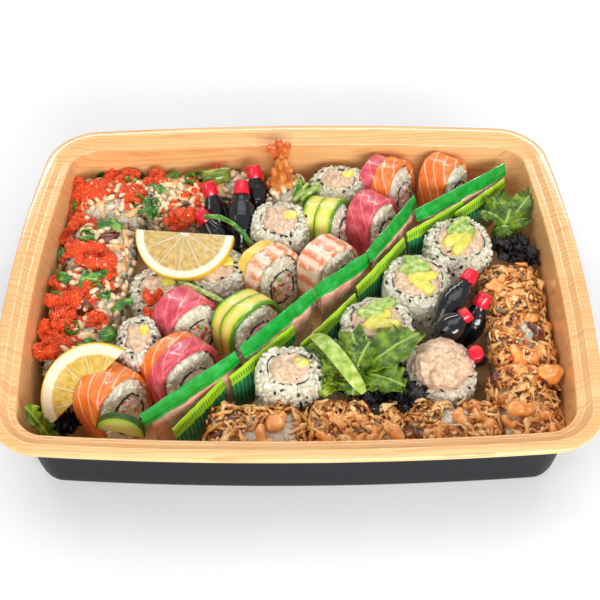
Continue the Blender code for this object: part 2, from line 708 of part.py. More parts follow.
def build_salad():
    """The bunches of lettuce in the middle, at the back and at the front."""
    green = material("lettuce", (0.20, 0.42, 0.05), 0.45)
    salad("salad_middle", (36, -64, 40), (15, 11, 12), (
        ((0, 2, 6), 150, 35, 25, 34, 20, 1.4, 2.2, 0.3),
        ((2, 0, 8), 100, 40, 15, 26, 20, 1.2, 2.0, 1.2),
        ((4, 0, 6), 30, 35, 5, 42, 22, 1.3, 2.4, 2.1),
        ((2, -2, 6), -20, 25, 25, 30, 22, 1.6, 2.4, 0.9),
        ((0, -2, 6), -100, 30, 40, 16, 20, 1.2, 1.6, 2.6),
    ), green)
    salad("salad_back", (143, 57, 34), (12, 13, 14), (
        ((0, 4, 8), 112, 40, 10, 22, 19, 1.3, 2.2, 0.5),
        ((0, 2, 8), 70, 50, 20, 24, 18, 1.1, 1.8, 1.9),
        ((2, 0, 8), 20, 55, 35, 16, 14, 1.2, 1.4, 2.8),
        ((0, -2, 6), -95, 25, 15, 28, 22, 1.8, 2.6, 1.1),
    ), green)
    salad("salad_front", (-144, -97, 14), (8, 8, 10), (
        ((-3, 3, 2), 108, 60, 45, 32, 10, 1.2, 0.8, 0.4),
        ((-2, -2, 6), 165, 88, -70, 40, 13, 1.3, 1.0, 1.5),
        ((2, -2, 4), -15, 50, 20, 20, 10, 1.3, 1.2, 1.5),
    ), green)



build_tray()
build_rolls()
build_garnish()
build_packs()
build_salad()
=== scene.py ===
"""The looks of a filled takeaway sushi tray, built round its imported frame."""
import math
import random

import bpy
import numpy as np
from mathutils import Matrix, Vector, noise
from mathutils.bvhtree import BVHTree


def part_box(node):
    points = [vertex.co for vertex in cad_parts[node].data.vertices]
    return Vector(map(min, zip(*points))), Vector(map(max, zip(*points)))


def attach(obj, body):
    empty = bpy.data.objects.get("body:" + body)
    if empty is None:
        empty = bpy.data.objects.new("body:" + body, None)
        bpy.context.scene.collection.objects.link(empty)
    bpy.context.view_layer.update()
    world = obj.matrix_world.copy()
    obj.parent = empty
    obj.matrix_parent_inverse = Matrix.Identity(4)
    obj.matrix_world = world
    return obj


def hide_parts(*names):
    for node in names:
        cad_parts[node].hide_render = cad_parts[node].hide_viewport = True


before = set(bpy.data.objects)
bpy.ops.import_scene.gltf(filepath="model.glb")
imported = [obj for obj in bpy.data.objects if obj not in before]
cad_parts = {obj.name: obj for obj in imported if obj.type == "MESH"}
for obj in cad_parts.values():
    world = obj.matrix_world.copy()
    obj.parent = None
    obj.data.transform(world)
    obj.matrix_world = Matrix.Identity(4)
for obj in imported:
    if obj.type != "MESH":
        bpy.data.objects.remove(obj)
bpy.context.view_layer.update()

# Sizes and places are in millimetres and degrees, and MM turns them into metres
MM = 0.001

TRAY_HALF_X = 179.4
TRAY_HALF_Y = 136.0
TRAY_TOP = 66.0
TRAY_CORNER = 28.6
END_BOW = 9.5
SIDE_BOW = 7.0
SHEET_THICKNESS = 1.1
LEMON_RADIUS = 33.0
CUCUMBER_RADIUS = 14.6

# Topped rolls: turn of the cut face, length, width, and the slabs that lie over the rice
TOPPED_ROLLS = {
    "salmon_roll_front": (-36, 26, 42, "salmon", None),
    "tuna_salmon_roll_front": (-46, 26, 44, "salmon", "tuna"),
    "tuna_roll_left": (-46, 26, 40, "tuna", None),
    "avocado_roll_left": (-46, 25, 43, "avocado", "avocado"),
    "prawn_mango_roll": (-46, 25, 38, "mango", "prawn"),
    "prawn_roll": (-46, 25, 39, "prawn", None),
    "avocado_tuna_roll": (-22, 27, 34, "avocado", "avocado"),
    "tuna_roll_right": (-42, 25, 33, "tuna", None),
    "tuna_salmon_roll_back": (-33, 28, 35, "tuna", "salmon"),
    "salmon_roll_back": (-40, 26, 32, "salmon", None),
}

# Rolls on end: turn, length, width, and the filling that shows in the cut face
STANDING_ROLLS = {
    "mayo_roll_back": (0, 37, 28, "mayo"),
    "mayo_roll_middle": (0, 38, 36, "mayo"),
    "mayo_roll_left": (0, 36, 36, "mayo"),
    "mayo_roll_lemon": (0, 38, 38, "mayo"),
    "mayo_roll_front": (10, 24, 34, "mayo"),
    "garden_roll_back": (20, 42, 40, "garden"),
    "garden_roll_middle": (-10, 42, 40, "garden"),
    "garden_roll_front": (10, 43, 40, "garden"),
    "tuna_avocado_roll": (0, 39, 33, "mayo"),
    "tuna_mound_roll": (0, 42, 41, "mound"),
}

# Rolls that lie under roe or fried onion: turn, length, width
ROE_ROLLS = {
    "roe_roll_1": (90, 36, 46),
    "roe_roll_2": (90, 39, 47),
    "roe_roll_3": (90, 39, 47),
    "roe_roll_corner": (0, 46, 45),
    "roe_roll_back": (0, 42, 45),
    "roe_roll_end": (0, 31, 20),
    "tempura_roll": (0, 24, 37),
}
ONION_ROLLS = {
    "onion_roll_back": (90, 38, 38),
    "onion_roll_side": (90, 39, 38),
    "onion_roll_corner": (90, 49, 38),
    "onion_roll_right": (0, 53, 32),
    "onion_roll_middle": (0, 54, 32),
    "onion_roll_left": (0, 54, 31),
}

stock = {}


# Handling of objects

def deselect():
    """Leave edit mode and deselect everything."""
    if bpy.context.object and bpy.context.object.mode != "OBJECT":
        bpy.ops.object.mode_set(mode="OBJECT")
    bpy.ops.object.select_all(action="DESELECT")


def focus(obj):
    """Make one object the only selected and active one."""
    deselect()
    obj.select_set(True)
    bpy.context.view_layer.objects.active = obj


def apply_modifiers(obj):
    """Apply every modifier of an object in order."""
    focus(obj)
    for modifier in list(obj.modifiers):
        bpy.ops.object.modifier_apply(modifier=modifier.name)


def pick_faces(obj, test):
    """Select the faces that pass a test, from object mode, and enter edit mode."""
    focus(obj)
    bpy.ops.object.mode_set(mode="EDIT")
    bpy.ops.mesh.select_mode(type="FACE")
    bpy.ops.mesh.select_all(action="DESELECT")
    bpy.ops.object.mode_set(mode="OBJECT")
    for face in obj.data.polygons:
        face.select = test(face)
    bpy.ops.object.mode_set(mode="EDIT")


def leave_edit():
    """Go back to object mode."""
    bpy.ops.object.mode_set(mode="OBJECT")


def smooth(obj, angle=60.0):
    """Shade an object smooth, with sharp edges past an angle."""
    focus(obj)
    bpy.ops.object.shade_smooth_by_angle(angle=math.radians(angle))


def hold_inside(obj, gap=0.9):
    """Push the points of a piece back from the inner wall and the floor of the tray."""
    flat = np.empty(len(obj.data.vertices) * 3)
    obj.data.vertices.foreach_get("co", flat)
    points = flat.reshape(-1, 3) / MM
    x, y, z = points[:, 0], points[:, 1], points[:, 2]
    inset = np.where(z > 6.0, 15.2 + (59.8 - z) * 0.0595, 18.4 + (6.0 - z) * 0.8) + gap
    inset = np.where(z > 60.5, 8.0, inset)
    round_off = np.maximum(TRAY_CORNER - inset, 8.0)
    free_x, free_y = TRAY_HALF_X - inset - round_off, TRAY_HALF_Y - inset - round_off
    # Where each point would lie on the rim, which sets how far the bow has drawn it in
    rim_x = (np.abs(x) + inset * np.clip((np.abs(x) - free_x) / round_off, 0, 1)) / TRAY_HALF_X
    rim_y = (np.abs(y) + inset * np.clip((np.abs(y) - free_y) / round_off, 0, 1)) / TRAY_HALF_Y
    bow_x = END_BOW * rim_y ** 2 * rim_x
    bow_y = SIDE_BOW * rim_x ** 2 * rim_y
    over_x, over_y = np.maximum(np.abs(x) + bow_x - free_x, 0), np.maximum(np.abs(y) + bow_y - free_y, 0)
    pull = np.minimum(1.0, round_off / np.maximum(np.hypot(over_x, over_y), 1e-9))
    kept_x = np.where(over_x > 0, np.sign(x) * (free_x + over_x * pull - bow_x), x)
    kept_y = np.where(over_y > 0, np.sign(y) * (free_y + over_y * pull - bow_y), y)
    kept = np.stack([kept_x, kept_y, np.maximum(z, 1.5)], axis=1) * MM
    obj.data.vertices.foreach_set("co", kept.ravel())
    obj.data.update()


def dress(obj, name, finish, slot, *nodes):
    """Name a finished piece, give it its material, and fix it to the tray."""
    obj.name = name
    obj.data.name = name
    if finish:
        obj.data.materials.clear()
        obj.data.materials.append(finish)
    if slot != "wood_print":
        hold_inside(obj)
    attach(obj, "root")
    if nodes:
        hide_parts(*nodes)
    return obj


def put_by(kind, obj):
    """Keep a small shape of one kind until all of that kind are joined."""
    stock.setdefault(kind, []).append(obj)
    return obj


def join_kind(kind, name, finish, slot, *nodes):
    """Join the kept shapes of one kind into a piece."""
    deselect()
    shapes = stock.pop(kind)
    for obj in shapes:
        obj.select_set(True)
    bpy.context.view_layer.objects.active = shapes[0]
    if len(shapes) > 1:
        bpy.ops.object.join()
    return dress(bpy.context.object, name, finish, slot, *nodes)


def copy_of(obj):
    """A copy with its own mesh."""
    made = obj.copy()
    made.data = obj.data.copy()
    bpy.context.scene.collection.objects.link(made)
    return made


def box_mm(node):
    """Middle, size and top of a node, in millimetres."""
    low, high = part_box(node)
    low, high = low / MM, high / MM
    return (low + high) / 2, high - low, high.z


def upright(node, turn):
    """Matrix that stands a shape at the foot of a node, turned about the vertical."""
    middle, size, top = box_mm(node)
    foot = Vector((middle.x, middle.y, middle.z - size.z / 2))
    return Matrix.Translation(foot * MM) @ Matrix.Rotation(math.radians(turn), 4, "Z")


def move_points(obj, rule):
    """Move each point of a mesh, in millimetres, by a rule."""
    for vert in obj.data.vertices:
        vert.co = Vector(rule(vert.co / MM)) * MM
    obj.data.update()


def note_points(obj, name, rule):
    """Store a vector for each point of a mesh, for its material to read."""
    values = [rule(vert.co / MM) for vert in obj.data.vertices]
    layer = obj.data.attributes.new(name, "FLOAT_VECTOR", "POINT")
    layer.data.foreach_set("vector", np.array(values, np.float32).ravel())


def roughen(obj, depth, size, seed=0.0):
    """Push the points of a mesh in and out by smooth noise of a given size."""
    normals = [vert.normal.copy() for vert in obj.data.vertices]
    for vert, normal in zip(obj.data.vertices, normals):
        where = vert.co / MM / size + Vector((seed * 7.1, seed * 3.3, seed))
        vert.co += normal * depth * MM * noise.noise(where)
    obj.data.update()


# Basic food shapes

def bulk(half_x, half_y, half_z, section=2.8, profile=6.0, segments=32, rings=18):
    """A closed rounded block: a ball pulled out to a rounded section and flatter ends along Z."""
    deselect()
    bpy.ops.mesh.primitive_uv_sphere_add(segments=segments, ring_count=rings, radius=MM)
    obj = bpy.context.object

    def rule(point):
        flat = math.hypot(point.x, point.y)
        angle = math.atan2(point.y, point.x)
        c, s = math.cos(angle), math.sin(angle)
        reach = flat ** (2 / profile) if flat > 1e-6 else 0.0
        rise = math.copysign(abs(point.z) ** (2 / profile), point.z)
        return (half_x * reach * math.copysign(abs(c) ** (2 / section), c),
                half_y * reach * math.copysign(abs(s) ** (2 / section), s), half_z * rise)

    move_points(obj, rule)
    return obj


LYING = Matrix(((0, 0, 1, 0), (1, 0, 0, 0), (0, 1, 0, 0), (0, 0, 0, 1)))


def spots(obj, count, seed, test=lambda point, normal: True, spread=0.0):
    """Seeded points on the faces of a mesh with their normals, kept a distance apart."""
    draw = np.random.default_rng(seed)
    mesh = obj.data
    mesh.calc_loop_triangles()
    corners = np.array([vert.co for vert in mesh.vertices])
    triangles = np.array([tri.vertices[:] for tri in mesh.loop_triangles])
    a, b, c = (corners[triangles[:, k]] for k in range(3))
    cross = np.cross(b - a, c - a)
    area = np.linalg.norm(cross, axis=1)
    chosen = draw.choice(len(area), count * 3, p=area / area.sum())
    u, v = draw.random(count * 3), draw.random(count * 3)
    over = u + v > 1
    u[over], v[over] = 1 - u[over], 1 - v[over]
    points = a[chosen] + u[:, None] * (b - a)[chosen] + v[:, None] * (c - a)[chosen]
    normals = cross[chosen] / np.maximum(area[chosen], 1e-12)[:, None]
    kept = []
    cells = {}
    for point, normal in zip(points, normals):
        if len(kept) >= count:
            break
        place = point / MM
        if not test(place, normal):
            continue
        if spread:
            key = tuple(np.floor(place / spread).astype(int))
            near = (cells.get((key[0] + i, key[1] + j, key[2] + k), ())
                    for i in (-1, 0, 1) for j in (-1, 0, 1) for k in (-1, 0, 1))
            if any(np.linalg.norm(place - other) < spread for group in near for other in group):
                continue
            cells.setdefault(key, []).append(place)
        kept.append((place, normal))
    return kept


def template(obj):
    """Points and faces of a small shape, which is then removed."""
    points = np.array([vert.co for vert in obj.data.vertices])
    faces = [tuple(face.vertices) for face in obj.data.polygons]
    mesh = obj.data
    bpy.data.objects.remove(obj, do_unlink=True)
    bpy.data.meshes.remove(mesh)
    return points, faces


def scattered(shape, places, draw, sizes=(0.85, 1.15), sink=0.0, tip=0.25):
    """One mesh of many copies of a small shape, each laid on a point along its normal."""
    points, faces = shape
    blocks, polygons, tones = [], [], []
    for number, (place, normal) in enumerate(places):
        tones += [draw.random()] * len(points)
        up = Vector(normal).normalized()
        up = (up + Vector((draw.uniform(-tip, tip), draw.uniform(-tip, tip), draw.uniform(-tip, tip)))).normalized()
        spin = Matrix.Rotation(draw.uniform(0, math.tau), 3, "Z")
        turn = up.to_track_quat("Z", "Y").to_matrix() @ spin
        scale = draw.uniform(*sizes)
        stretch = np.array([draw.uniform(0.9, 1.1), 1.0, 1.0])
        blocks.append((points * scale * stretch) @ np.array(turn).T + (np.array(place) - np.array(up) * sink) * MM)
        base = number * len(points)
        polygons += [tuple(base + index for index in face) for face in faces]
    mesh = bpy.data.meshes.new("scattered")
    mesh.from_pydata(np.concatenate(blocks).tolist(), [], polygons)
    mesh.shade_smooth()
    layer = mesh.attributes.new("tone", "FLOAT", "POINT")
    layer.data.foreach_set("value", np.array(tones, np.float32))
    obj = bpy.data.objects.new("scattered", mesh)
    bpy.context.scene.collection.objects.link(obj)
    return obj


def ball_template(size, segments=6, rings=5):
    """A small rounded grain of a given length, width and height."""
    deselect()
    bpy.ops.mesh.primitive_uv_sphere_add(segments=segments, ring_count=rings, radius=0.5)
    obj = bpy.context.object
    obj.data.transform(Matrix.Rotation(math.pi / 2, 4, "Y"))
    obj.data.transform(Matrix.Diagonal((size[0] * MM, size[1] * MM, size[2] * MM, 1.0)))
    return template(obj)


def roe_template(size):
    """One egg of roe."""
    deselect()
    bpy.ops.mesh.primitive_ico_sphere_add(subdivisions=1, radius=size / 2 * MM)
    return template(bpy.context.object)


# Shader parts

class Nodes:
    """Short ways to add nodes to a material or to a shared effect."""

    def __init__(self, tree):
        self.tree = tree

    def node(self, kind, **settings):
        made = self.tree.nodes.new(kind)
        for key, value in settings.items():
            setattr(made, key, value)
        return made

    def link(self, out, into):
        self.tree.links.new(out, into)

    def feed(self, socket, value):
        """Link a socket, or set its value or colour."""
        if isinstance(value, bpy.types.NodeSocket):
            self.link(value, socket)
        elif isinstance(value, tuple):
            socket.default_value = (*value, 1.0)
        else:
            socket.default_value = value

    def sum(self, kind, first, second=0.0):
        made = self.node("ShaderNodeMath", operation=kind)
        self.feed(made.inputs[0], first)
        self.feed(made.inputs[1], second)
        return made.outputs[0]

    def between(self, value, low, high):
        """A share that goes from 0 to 1 as a value goes from low to high."""
        made = self.node("ShaderNodeMapRange")
        for label, number in (("Value", value), ("From Min", low), ("From Max", high)):
            self.feed(made.inputs[label], number)
        return made.outputs["Result"]

    def mix(self, share, low, high):
        made = self.node("ShaderNodeMix", data_type="RGBA")
        self.feed(made.inputs["Factor"], share)
        self.feed(made.inputs[6], low)
        self.feed(made.inputs[7], high)
        return made.outputs[2]

    def parts(self, vector):
        made = self.node("ShaderNodeSeparateXYZ")
        self.link(vector, made.inputs[0])
        return made.outputs

    def noise(self, vector, scale, detail):
        """Noise over a vector."""
        made = self.node("ShaderNodeTexNoise")
        for label, value in (("Vector", vector), ("Scale", scale), ("Detail", detail)):
            self.feed(made.inputs[label], value)
        made.inputs["Roughness"].default_value = 0.55
        return made.outputs["Fac"]


def shared_effect(name, inputs, output):
    """A shader group with named inputs and one output: its nodes, what it is given and its result."""
    tree = bpy.data.node_groups.new(name, "ShaderNodeTree")
    for label, kind in inputs:
        tree.interface.new_socket(label, in_out="INPUT", socket_type="NodeSocket" + kind)
    label, kind = output
    tree.interface.new_socket(label, in_out="OUTPUT", socket_type="NodeSocket" + kind)
    nodes = Nodes(tree)
    return nodes, nodes.node("NodeGroupInput").outputs, nodes.node("NodeGroupOutput").inputs[0]


def uneven_height():
    """Uneven ground of a given size in millimetres, for bumps and for bending lines."""
    nodes, given, result = shared_effect(
        "uneven_height", (("Place", "Vector"), ("Size", "Float"), ("Detail", "Float")), ("Height", "Float"))
    nodes.link(nodes.noise(given["Place"], nodes.sum("DIVIDE", 1 / MM, given["Size"]), given["Detail"]), result)
    return nodes.tree


def uneven_patches():
    """Three tones in uneven patches of a given size in millimetres."""
    nodes, given, result = shared_effect(
        "uneven_patches", (("Place", "Vector"), ("Size", "Float"), ("Detail", "Float"), ("Dark", "Color"),
                           ("Middle", "Color"), ("Light", "Color")), ("Colour", "Color"))
    height = nodes.noise(given["Place"], nodes.sum("DIVIDE", 1 / MM, given["Size"]), given["Detail"])
    low = nodes.mix(nodes.between(height, 0.32, 0.5), given["Dark"], given["Middle"])
    nodes.link(nodes.mix(nodes.between(height, 0.5, 0.68), low, given["Light"]), result)
    return nodes.tree


def even_lines():
    """Distance from the nearest of some even lines, as a share of their pitch."""
    nodes, given, result = shared_effect("even_lines", (("Along", "Float"), ("Pitch", "Float")), ("Distance", "Float"))
    part = nodes.sum("FRACT", nodes.sum("DIVIDE", given["Along"], given["Pitch"]))
    nodes.link(nodes.sum("ABSOLUTE", nodes.sum("SUBTRACT", part, 0.5)), result)
    return nodes.tree


def round_reach():
    """Distance from the middle of a round slice, as a share of its radius."""
    nodes, given, result = shared_effect("round_reach", (("Slice", "Vector"), ("Radius", "Float")), ("Share", "Float"))
    x, y, z = nodes.parts(given["Slice"])
    square = nodes.sum("ADD", nodes.sum("MULTIPLY", x, x), nodes.sum("MULTIPLY", y, y))
    nodes.link(nodes.sum("DIVIDE", nodes.sum("SQRT", square), given["Radius"]), result)
    return nodes.tree


EFFECTS = {"height": uneven_height(), "patches": uneven_patches(), "lines": even_lines(), "reach": round_reach()}


class Finish(Nodes):
    """A material with its own shader, and the shared effects at hand."""

    def __init__(self, name, roughness=0.5, **sockets):
        self.material = bpy.data.materials.new(name)
        self.material.use_nodes = True
        super().__init__(self.material.node_tree)
        self.shader = self.tree.nodes["Principled BSDF"]
        self.shader.inputs["Roughness"].default_value = roughness
        for socket, value in sockets.items():
            self.shader.inputs[socket.replace("_", " ")].default_value = value
        if "Subsurface_Weight" in sockets:
            self.shader.inputs["Subsurface Scale"].default_value = 1.5 * MM
        self.place = self.node("ShaderNodeTexCoord").outputs["Object"]

    def noted(self, name, output="Vector"):
        return self.node("ShaderNodeAttribute", attribute_name=name).outputs[output]

    def use(self, effect, *values):
        """Place a shared effect with this material's own values."""
        made = self.node("ShaderNodeGroup", node_tree=EFFECTS[effect])
        for socket, value in zip(made.inputs, values):
            self.feed(socket, value)
        return made.outputs[0]

    def height(self, size, detail=3.0):
        return self.use("height", self.place, size, detail)

    def patches(self, size, dark, middle, light, detail=3.0):
        return self.use("patches", self.place, size, detail, dark, middle, light)

    def ramp(self, value, *stops, ease="LINEAR"):
        made = self.node("ShaderNodeValToRGB")
        self.link(value, made.inputs["Fac"])
        made.color_ramp.interpolation = ease
        entries = made.color_ramp.elements
        while len(entries) < len(stops):
            entries.new(0.5)
        for entry, (position, colour) in zip(entries, stops):
            entry.position = position
            entry.color = (*colour, 1.0) if isinstance(colour, tuple) else (colour, colour, colour, 1.0)
        return made.outputs["Color"]

    def colour(self, value):
        self.feed(self.shader.inputs["Base Color"], value)

    def bump(self, height, depth, strength=1.0):
        made = self.node("ShaderNodeBump")
        made.inputs["Strength"].default_value = strength
        made.inputs["Distance"].default_value = depth * MM
        self.link(height, made.inputs["Height"])
        self.link(made.outputs["Normal"], self.shader.inputs["Normal"])


def rgb(red, green, blue):
    """A colour given in display values from 0 to 255."""
    return tuple(((c / 255 + 0.055) / 1.055) ** 2.4 if c > 10 else c / 255 / 12.92 for c in (red, green, blue))


def mottled(name, dark, middle, light, size, roughness=0.4, depth=0.3, bump_size=None, **sockets):
    """A finish of three tones in uneven patches, with a fine uneven surface."""
    finish = Finish(name, roughness, **sockets)
    finish.colour(finish.patches(size, dark, middle, light, 4.0))
    finish.bump(finish.height(bump_size or size / 2, 4.0), depth)
    return finish.material


def wood_print():
    """Printed pine: grain lines along the tray, drawn on the sheet before it was formed."""
    finish = Finish("pine_print", 0.2, Coat_Weight=0.5, Coat_Roughness=0.06)
    sheet = finish.noted("print")
    stretch = finish.node("ShaderNodeMapping")
    finish.link(sheet, stretch.inputs["Vector"])
    stretch.inputs["Scale"].default_value = (0.10, 1.0, 1.0)
    waves = finish.noise(stretch.outputs["Vector"], 1 / 26.0, 2.0)
    x, y, z = finish.parts(sheet)
    bent = finish.sum("ADD", y, finish.sum("MULTIPLY", waves, 34.0))
    rings = finish.sum("FRACT", finish.sum("DIVIDE", bent, 3.6))
    line = finish.ramp(rings, (0.0, 0.0), (0.55, 0.25), (0.9, 1.0), (1.0, 0.0))
    broad = finish.noise(stretch.outputs["Vector"], 1 / 30.0, 2.0)
    fine = finish.node("ShaderNodeMapping")
    finish.link(sheet, fine.inputs["Vector"])
    fine.inputs["Scale"].default_value = (0.04, 1.0, 1.0)
    fibres = finish.noise(fine.outputs["Vector"], 1 / 0.8, 3.0)
    base = finish.mix(finish.between(broad, 0.35, 0.65), rgb(246, 196, 134), rgb(240, 180, 114))
    grain = finish.mix(finish.sum("MULTIPLY", line, 0.75), base, rgb(224, 148, 84))
    finish.colour(finish.mix(finish.ramp(fibres, (0.4, 0.0), (0.7, 0.3)), grain, rgb(251, 218, 166)))
    return finish.material


def dark_shell():
    """The outside of the sheet: satin dark slate."""
    finish = Finish("dark_shell", 0.5, Specular_IOR_Level=0.25)
    finish.colour(finish.patches(3.0, rgb(10, 14, 19), rgb(12, 17, 22), rgb(15, 20, 26), 5.0))
    finish.bump(finish.height(0.7, 2.0), 0.05)
    return finish.material


# Tray

def tray_outline(corner_steps=12, long_steps=28, short_steps=22):
    """Points round the rim, with its sides bowed outwards."""
    corners = ((1, 1, 0.0), (-1, 1, 90.0), (-1, -1, 180.0), (1, -1, 270.0))
    plain = []
    for number, (side_x, side_y, start) in enumerate(corners):
        centre = Vector((side_x * (TRAY_HALF_X - TRAY_CORNER), side_y * (TRAY_HALF_Y - TRAY_CORNER)))
        for step in range(corner_steps + 1):
            angle = math.radians(start + 90.0 * step / corner_steps)
            plain.append(centre + TRAY_CORNER * Vector((math.cos(angle), math.sin(angle))))
        next_x, next_y, _ = corners[(number + 1) % 4]
        end = math.radians(start + 90.0)
        after = Vector((next_x * (TRAY_HALF_X - TRAY_CORNER), next_y * (TRAY_HALF_Y - TRAY_CORNER)))
        after += TRAY_CORNER * Vector((math.cos(end), math.sin(end)))
        steps = long_steps if next_y == side_y else short_steps
        plain += [plain[-1].lerp(after, step / steps) for step in range(1, steps)]
    bowed = []
    for x, y in plain:
        bow_x = END_BOW * (y / TRAY_HALF_Y) ** 2 * x / TRAY_HALF_X
        bow_y = SIDE_BOW * (x / TRAY_HALF_X) ** 2 * y / TRAY_HALF_Y
        bowed.append((x - bow_x, y - bow_y))
    return bowed


def build_tray():
    """The formed sheet: each step in from the rim is an inset, and its back becomes the dark shell."""
    outline = [Vector((x, y, TRAY_TOP - 4.0)) * MM for x, y in tray_outline()]
    mesh = bpy.data.meshes.new("tray")
    mesh.from_pydata(outline, [], [tuple(range(len(outline)))])
    obj = bpy.data.objects.new("tray", mesh)
    bpy.context.scene.collection.objects.link(obj)
    focus(obj)
    bpy.ops.object.mode_set(mode="EDIT")
    bpy.ops.mesh.select_all(action="SELECT")
    bpy.ops.mesh.normals_make_consistent(inside=False)
    # Steps in from the rim: how far in, and how far up or down
    for inward, up in ((0.05, 2.4), (0.25, 0.9), (0.8, 0.55), (2.2, 0.15), (2.4, 0.0), (0.9, -0.25), (0.9, -0.75),
                       (1.7, -1.7), (1.5, -1.45), (0.9, -0.55), (1.3, -0.1), (1.1, -0.05), (0.7, -0.3), (0.5, -1.0),
                       (0.15, -2.0), (1.4, -26.0), (1.4, -25.0), (0.5, -3.2), (1.3, -2.0), (2.8, -0.55)):
        bpy.ops.mesh.inset(thickness=inward * MM, depth=up * MM, use_even_offset=True)
    leave_edit()

    def printed(point):
        pull = (TRAY_TOP - point.z) * 0.8
        return point.x * (1 - pull / 200.0), point.y * (1 - pull / 130.0), 0.0

    note_points(obj, "print", printed)
    obj.data.materials.append(wood_print())
    obj.data.materials.append(dark_shell())
    shell = obj.modifiers.new("shell", "SOLIDIFY")
    shell.thickness = SHEET_THICKNESS * MM
    shell.offset = -1.0
    shell.material_offset = 1
    shell.material_offset_rim = 0
    soft = obj.modifiers.new("soft", "SUBSURF")
    soft.levels = soft.render_levels = 1
    apply_modifiers(obj)
    smooth(obj, 70.0)
    dress(obj, "formed_tray", None, "wood_print", "tray")


# Stage

def build_stage():
    """Pale floor, soft lights and a camera where the photograph was taken."""
    deselect()
    bpy.ops.mesh.primitive_plane_add(size=6.0, location=(0, 0, -0.0002))
    floor = bpy.context.object
    floor.name = "floor"
    finish = Finish("pale_floor", 0.6)
    finish.colour(finish.patches(400.0, rgb(243, 243, 243), rgb(245, 245, 245), rgb(247, 247, 247)))
    floor.data.materials.append(finish.material)
    world = bpy.data.worlds.new("studio")
    world.use_nodes = True
    world.node_tree.nodes["Background"].inputs["Color"].default_value = (1.0, 1.0, 1.0, 1.0)
    world.node_tree.nodes["Background"].inputs["Strength"].default_value = 0.43
    bpy.context.scene.world = world
    lamps = (("overhead", (0.0, 0.10, 0.95), (0.0, 0.0, 0.0), 0.9, 0.5, 1.9),
             ("back_strip", (0.0, 0.93, 0.80), (0.0, 0.0, 0.05), 1.8, 0.06, 7.0),
             ("window", (-0.9, -0.5, 0.8), (0.0, 0.0, 0.05), 0.5, 0.5, 2.2),
             ("front", (0.30, -1.02, 0.54), (0.0, 0.05, 0.04), 0.9, 0.4, 13.0))
    for name, place, aim, width, depth, power in lamps:
        lamp = bpy.data.lights.new(name, "AREA")
        lamp.shape = "RECTANGLE"
        lamp.size = width
        lamp.size_y = depth
        lamp.energy = power
        obj = bpy.data.objects.new(name, lamp)
        obj.location = place
        obj.rotation_euler = (Vector(aim) - Vector(place)).to_track_quat("-Z", "Y").to_euler()
        bpy.context.scene.collection.objects.link(obj)
    camera = bpy.data.cameras.new("camera")
    camera.lens = 57.29
    camera.sensor_width = 36.0
    camera.clip_start = 0.01
    pitch, yaw, roll = math.radians(51.05), math.radians(-0.737), math.radians(-1.018)
    ahead = Vector((math.sin(yaw) * math.cos(pitch), math.cos(yaw) * math.cos(pitch), -math.sin(pitch)))
    level = Vector((math.cos(yaw), -math.sin(yaw), 0.0))
    above = level.cross(ahead)
    right = level * math.cos(roll) + above * math.sin(roll)
    up = above * math.cos(roll) - level * math.sin(roll)
    obj = bpy.data.objects.new("camera", camera)
    obj.matrix_world = Matrix.Translation(Vector((7.25, -391.33, 518.65)) * MM) @ Matrix(
        (right, up, -ahead)).transposed().to_4x4()
    bpy.context.scene.collection.objects.link(obj)
    bpy.context.scene.camera = obj
    bpy.context.scene.view_settings.view_transform = "Standard"


# Rolls

FISH_SLAB = 3.6
ARCH_POWER = 2.7


def superpoint(angle, half_side, half_up, power=ARCH_POWER):
    """Side and rise on a rounded arch, at an angle from its top."""
    s, c = math.sin(angle), math.cos(angle)
    return (half_side * math.copysign(abs(s) ** (2 / power), s), half_up * math.copysign(abs(c) ** (2 / power), c))


def drape(start, end, half_side, half_up, cover, thickness, skew=0.0, seed=0.0, taper=0.0):
    """A soft slab laid over a roll from one share of its length to another."""
    deselect()
    bpy.ops.mesh.primitive_grid_add(x_subdivisions=12, y_subdivisions=30, size=2 * MM)
    obj = bpy.context.object

    def rule(point):
        edge = 1.4 * noise.noise(Vector((point.y * 2.0, seed, point.x)))
        narrow = 1.0 - taper * abs(point.y) ** 2
        along = (start + end) / 2 + (end - start) / 2 * point.x * narrow + skew * point.y + edge * abs(point.x)
        angle = point.y * cover + 0.04 * noise.noise(Vector((point.x * 2.0, seed + 5.0, 0.0)))
        side, up = superpoint(angle, half_side, half_up)
        return along, side, half_up + up

    where = [(vert.co.x / MM * (end - start) / 2, vert.co.y / MM * cover * (half_side + half_up) / 2,
              vert.co.x / MM) for vert in obj.data.vertices]
    layer = obj.data.attributes.new("slab", "FLOAT_VECTOR", "POINT")
    layer.data.foreach_set("vector", np.array(where, np.float32).ravel())
    move_points(obj, rule)
    focus(obj)
    bpy.ops.object.mode_set(mode="EDIT")
    bpy.ops.mesh.select_all(action="SELECT")
    bpy.ops.mesh.normals_make_consistent(inside=False)
    leave_edit()
    thick = obj.modifiers.new("thick", "SOLIDIFY")
    thick.thickness = thickness * MM
    thick.offset = 1.0
    soft = obj.modifiers.new("soft", "SUBSURF")
    soft.levels = soft.render_levels = 1
    apply_modifiers(obj)
    roughen(obj, 0.5, 7.0, seed)
    smooth(obj, 80.0)
    return obj


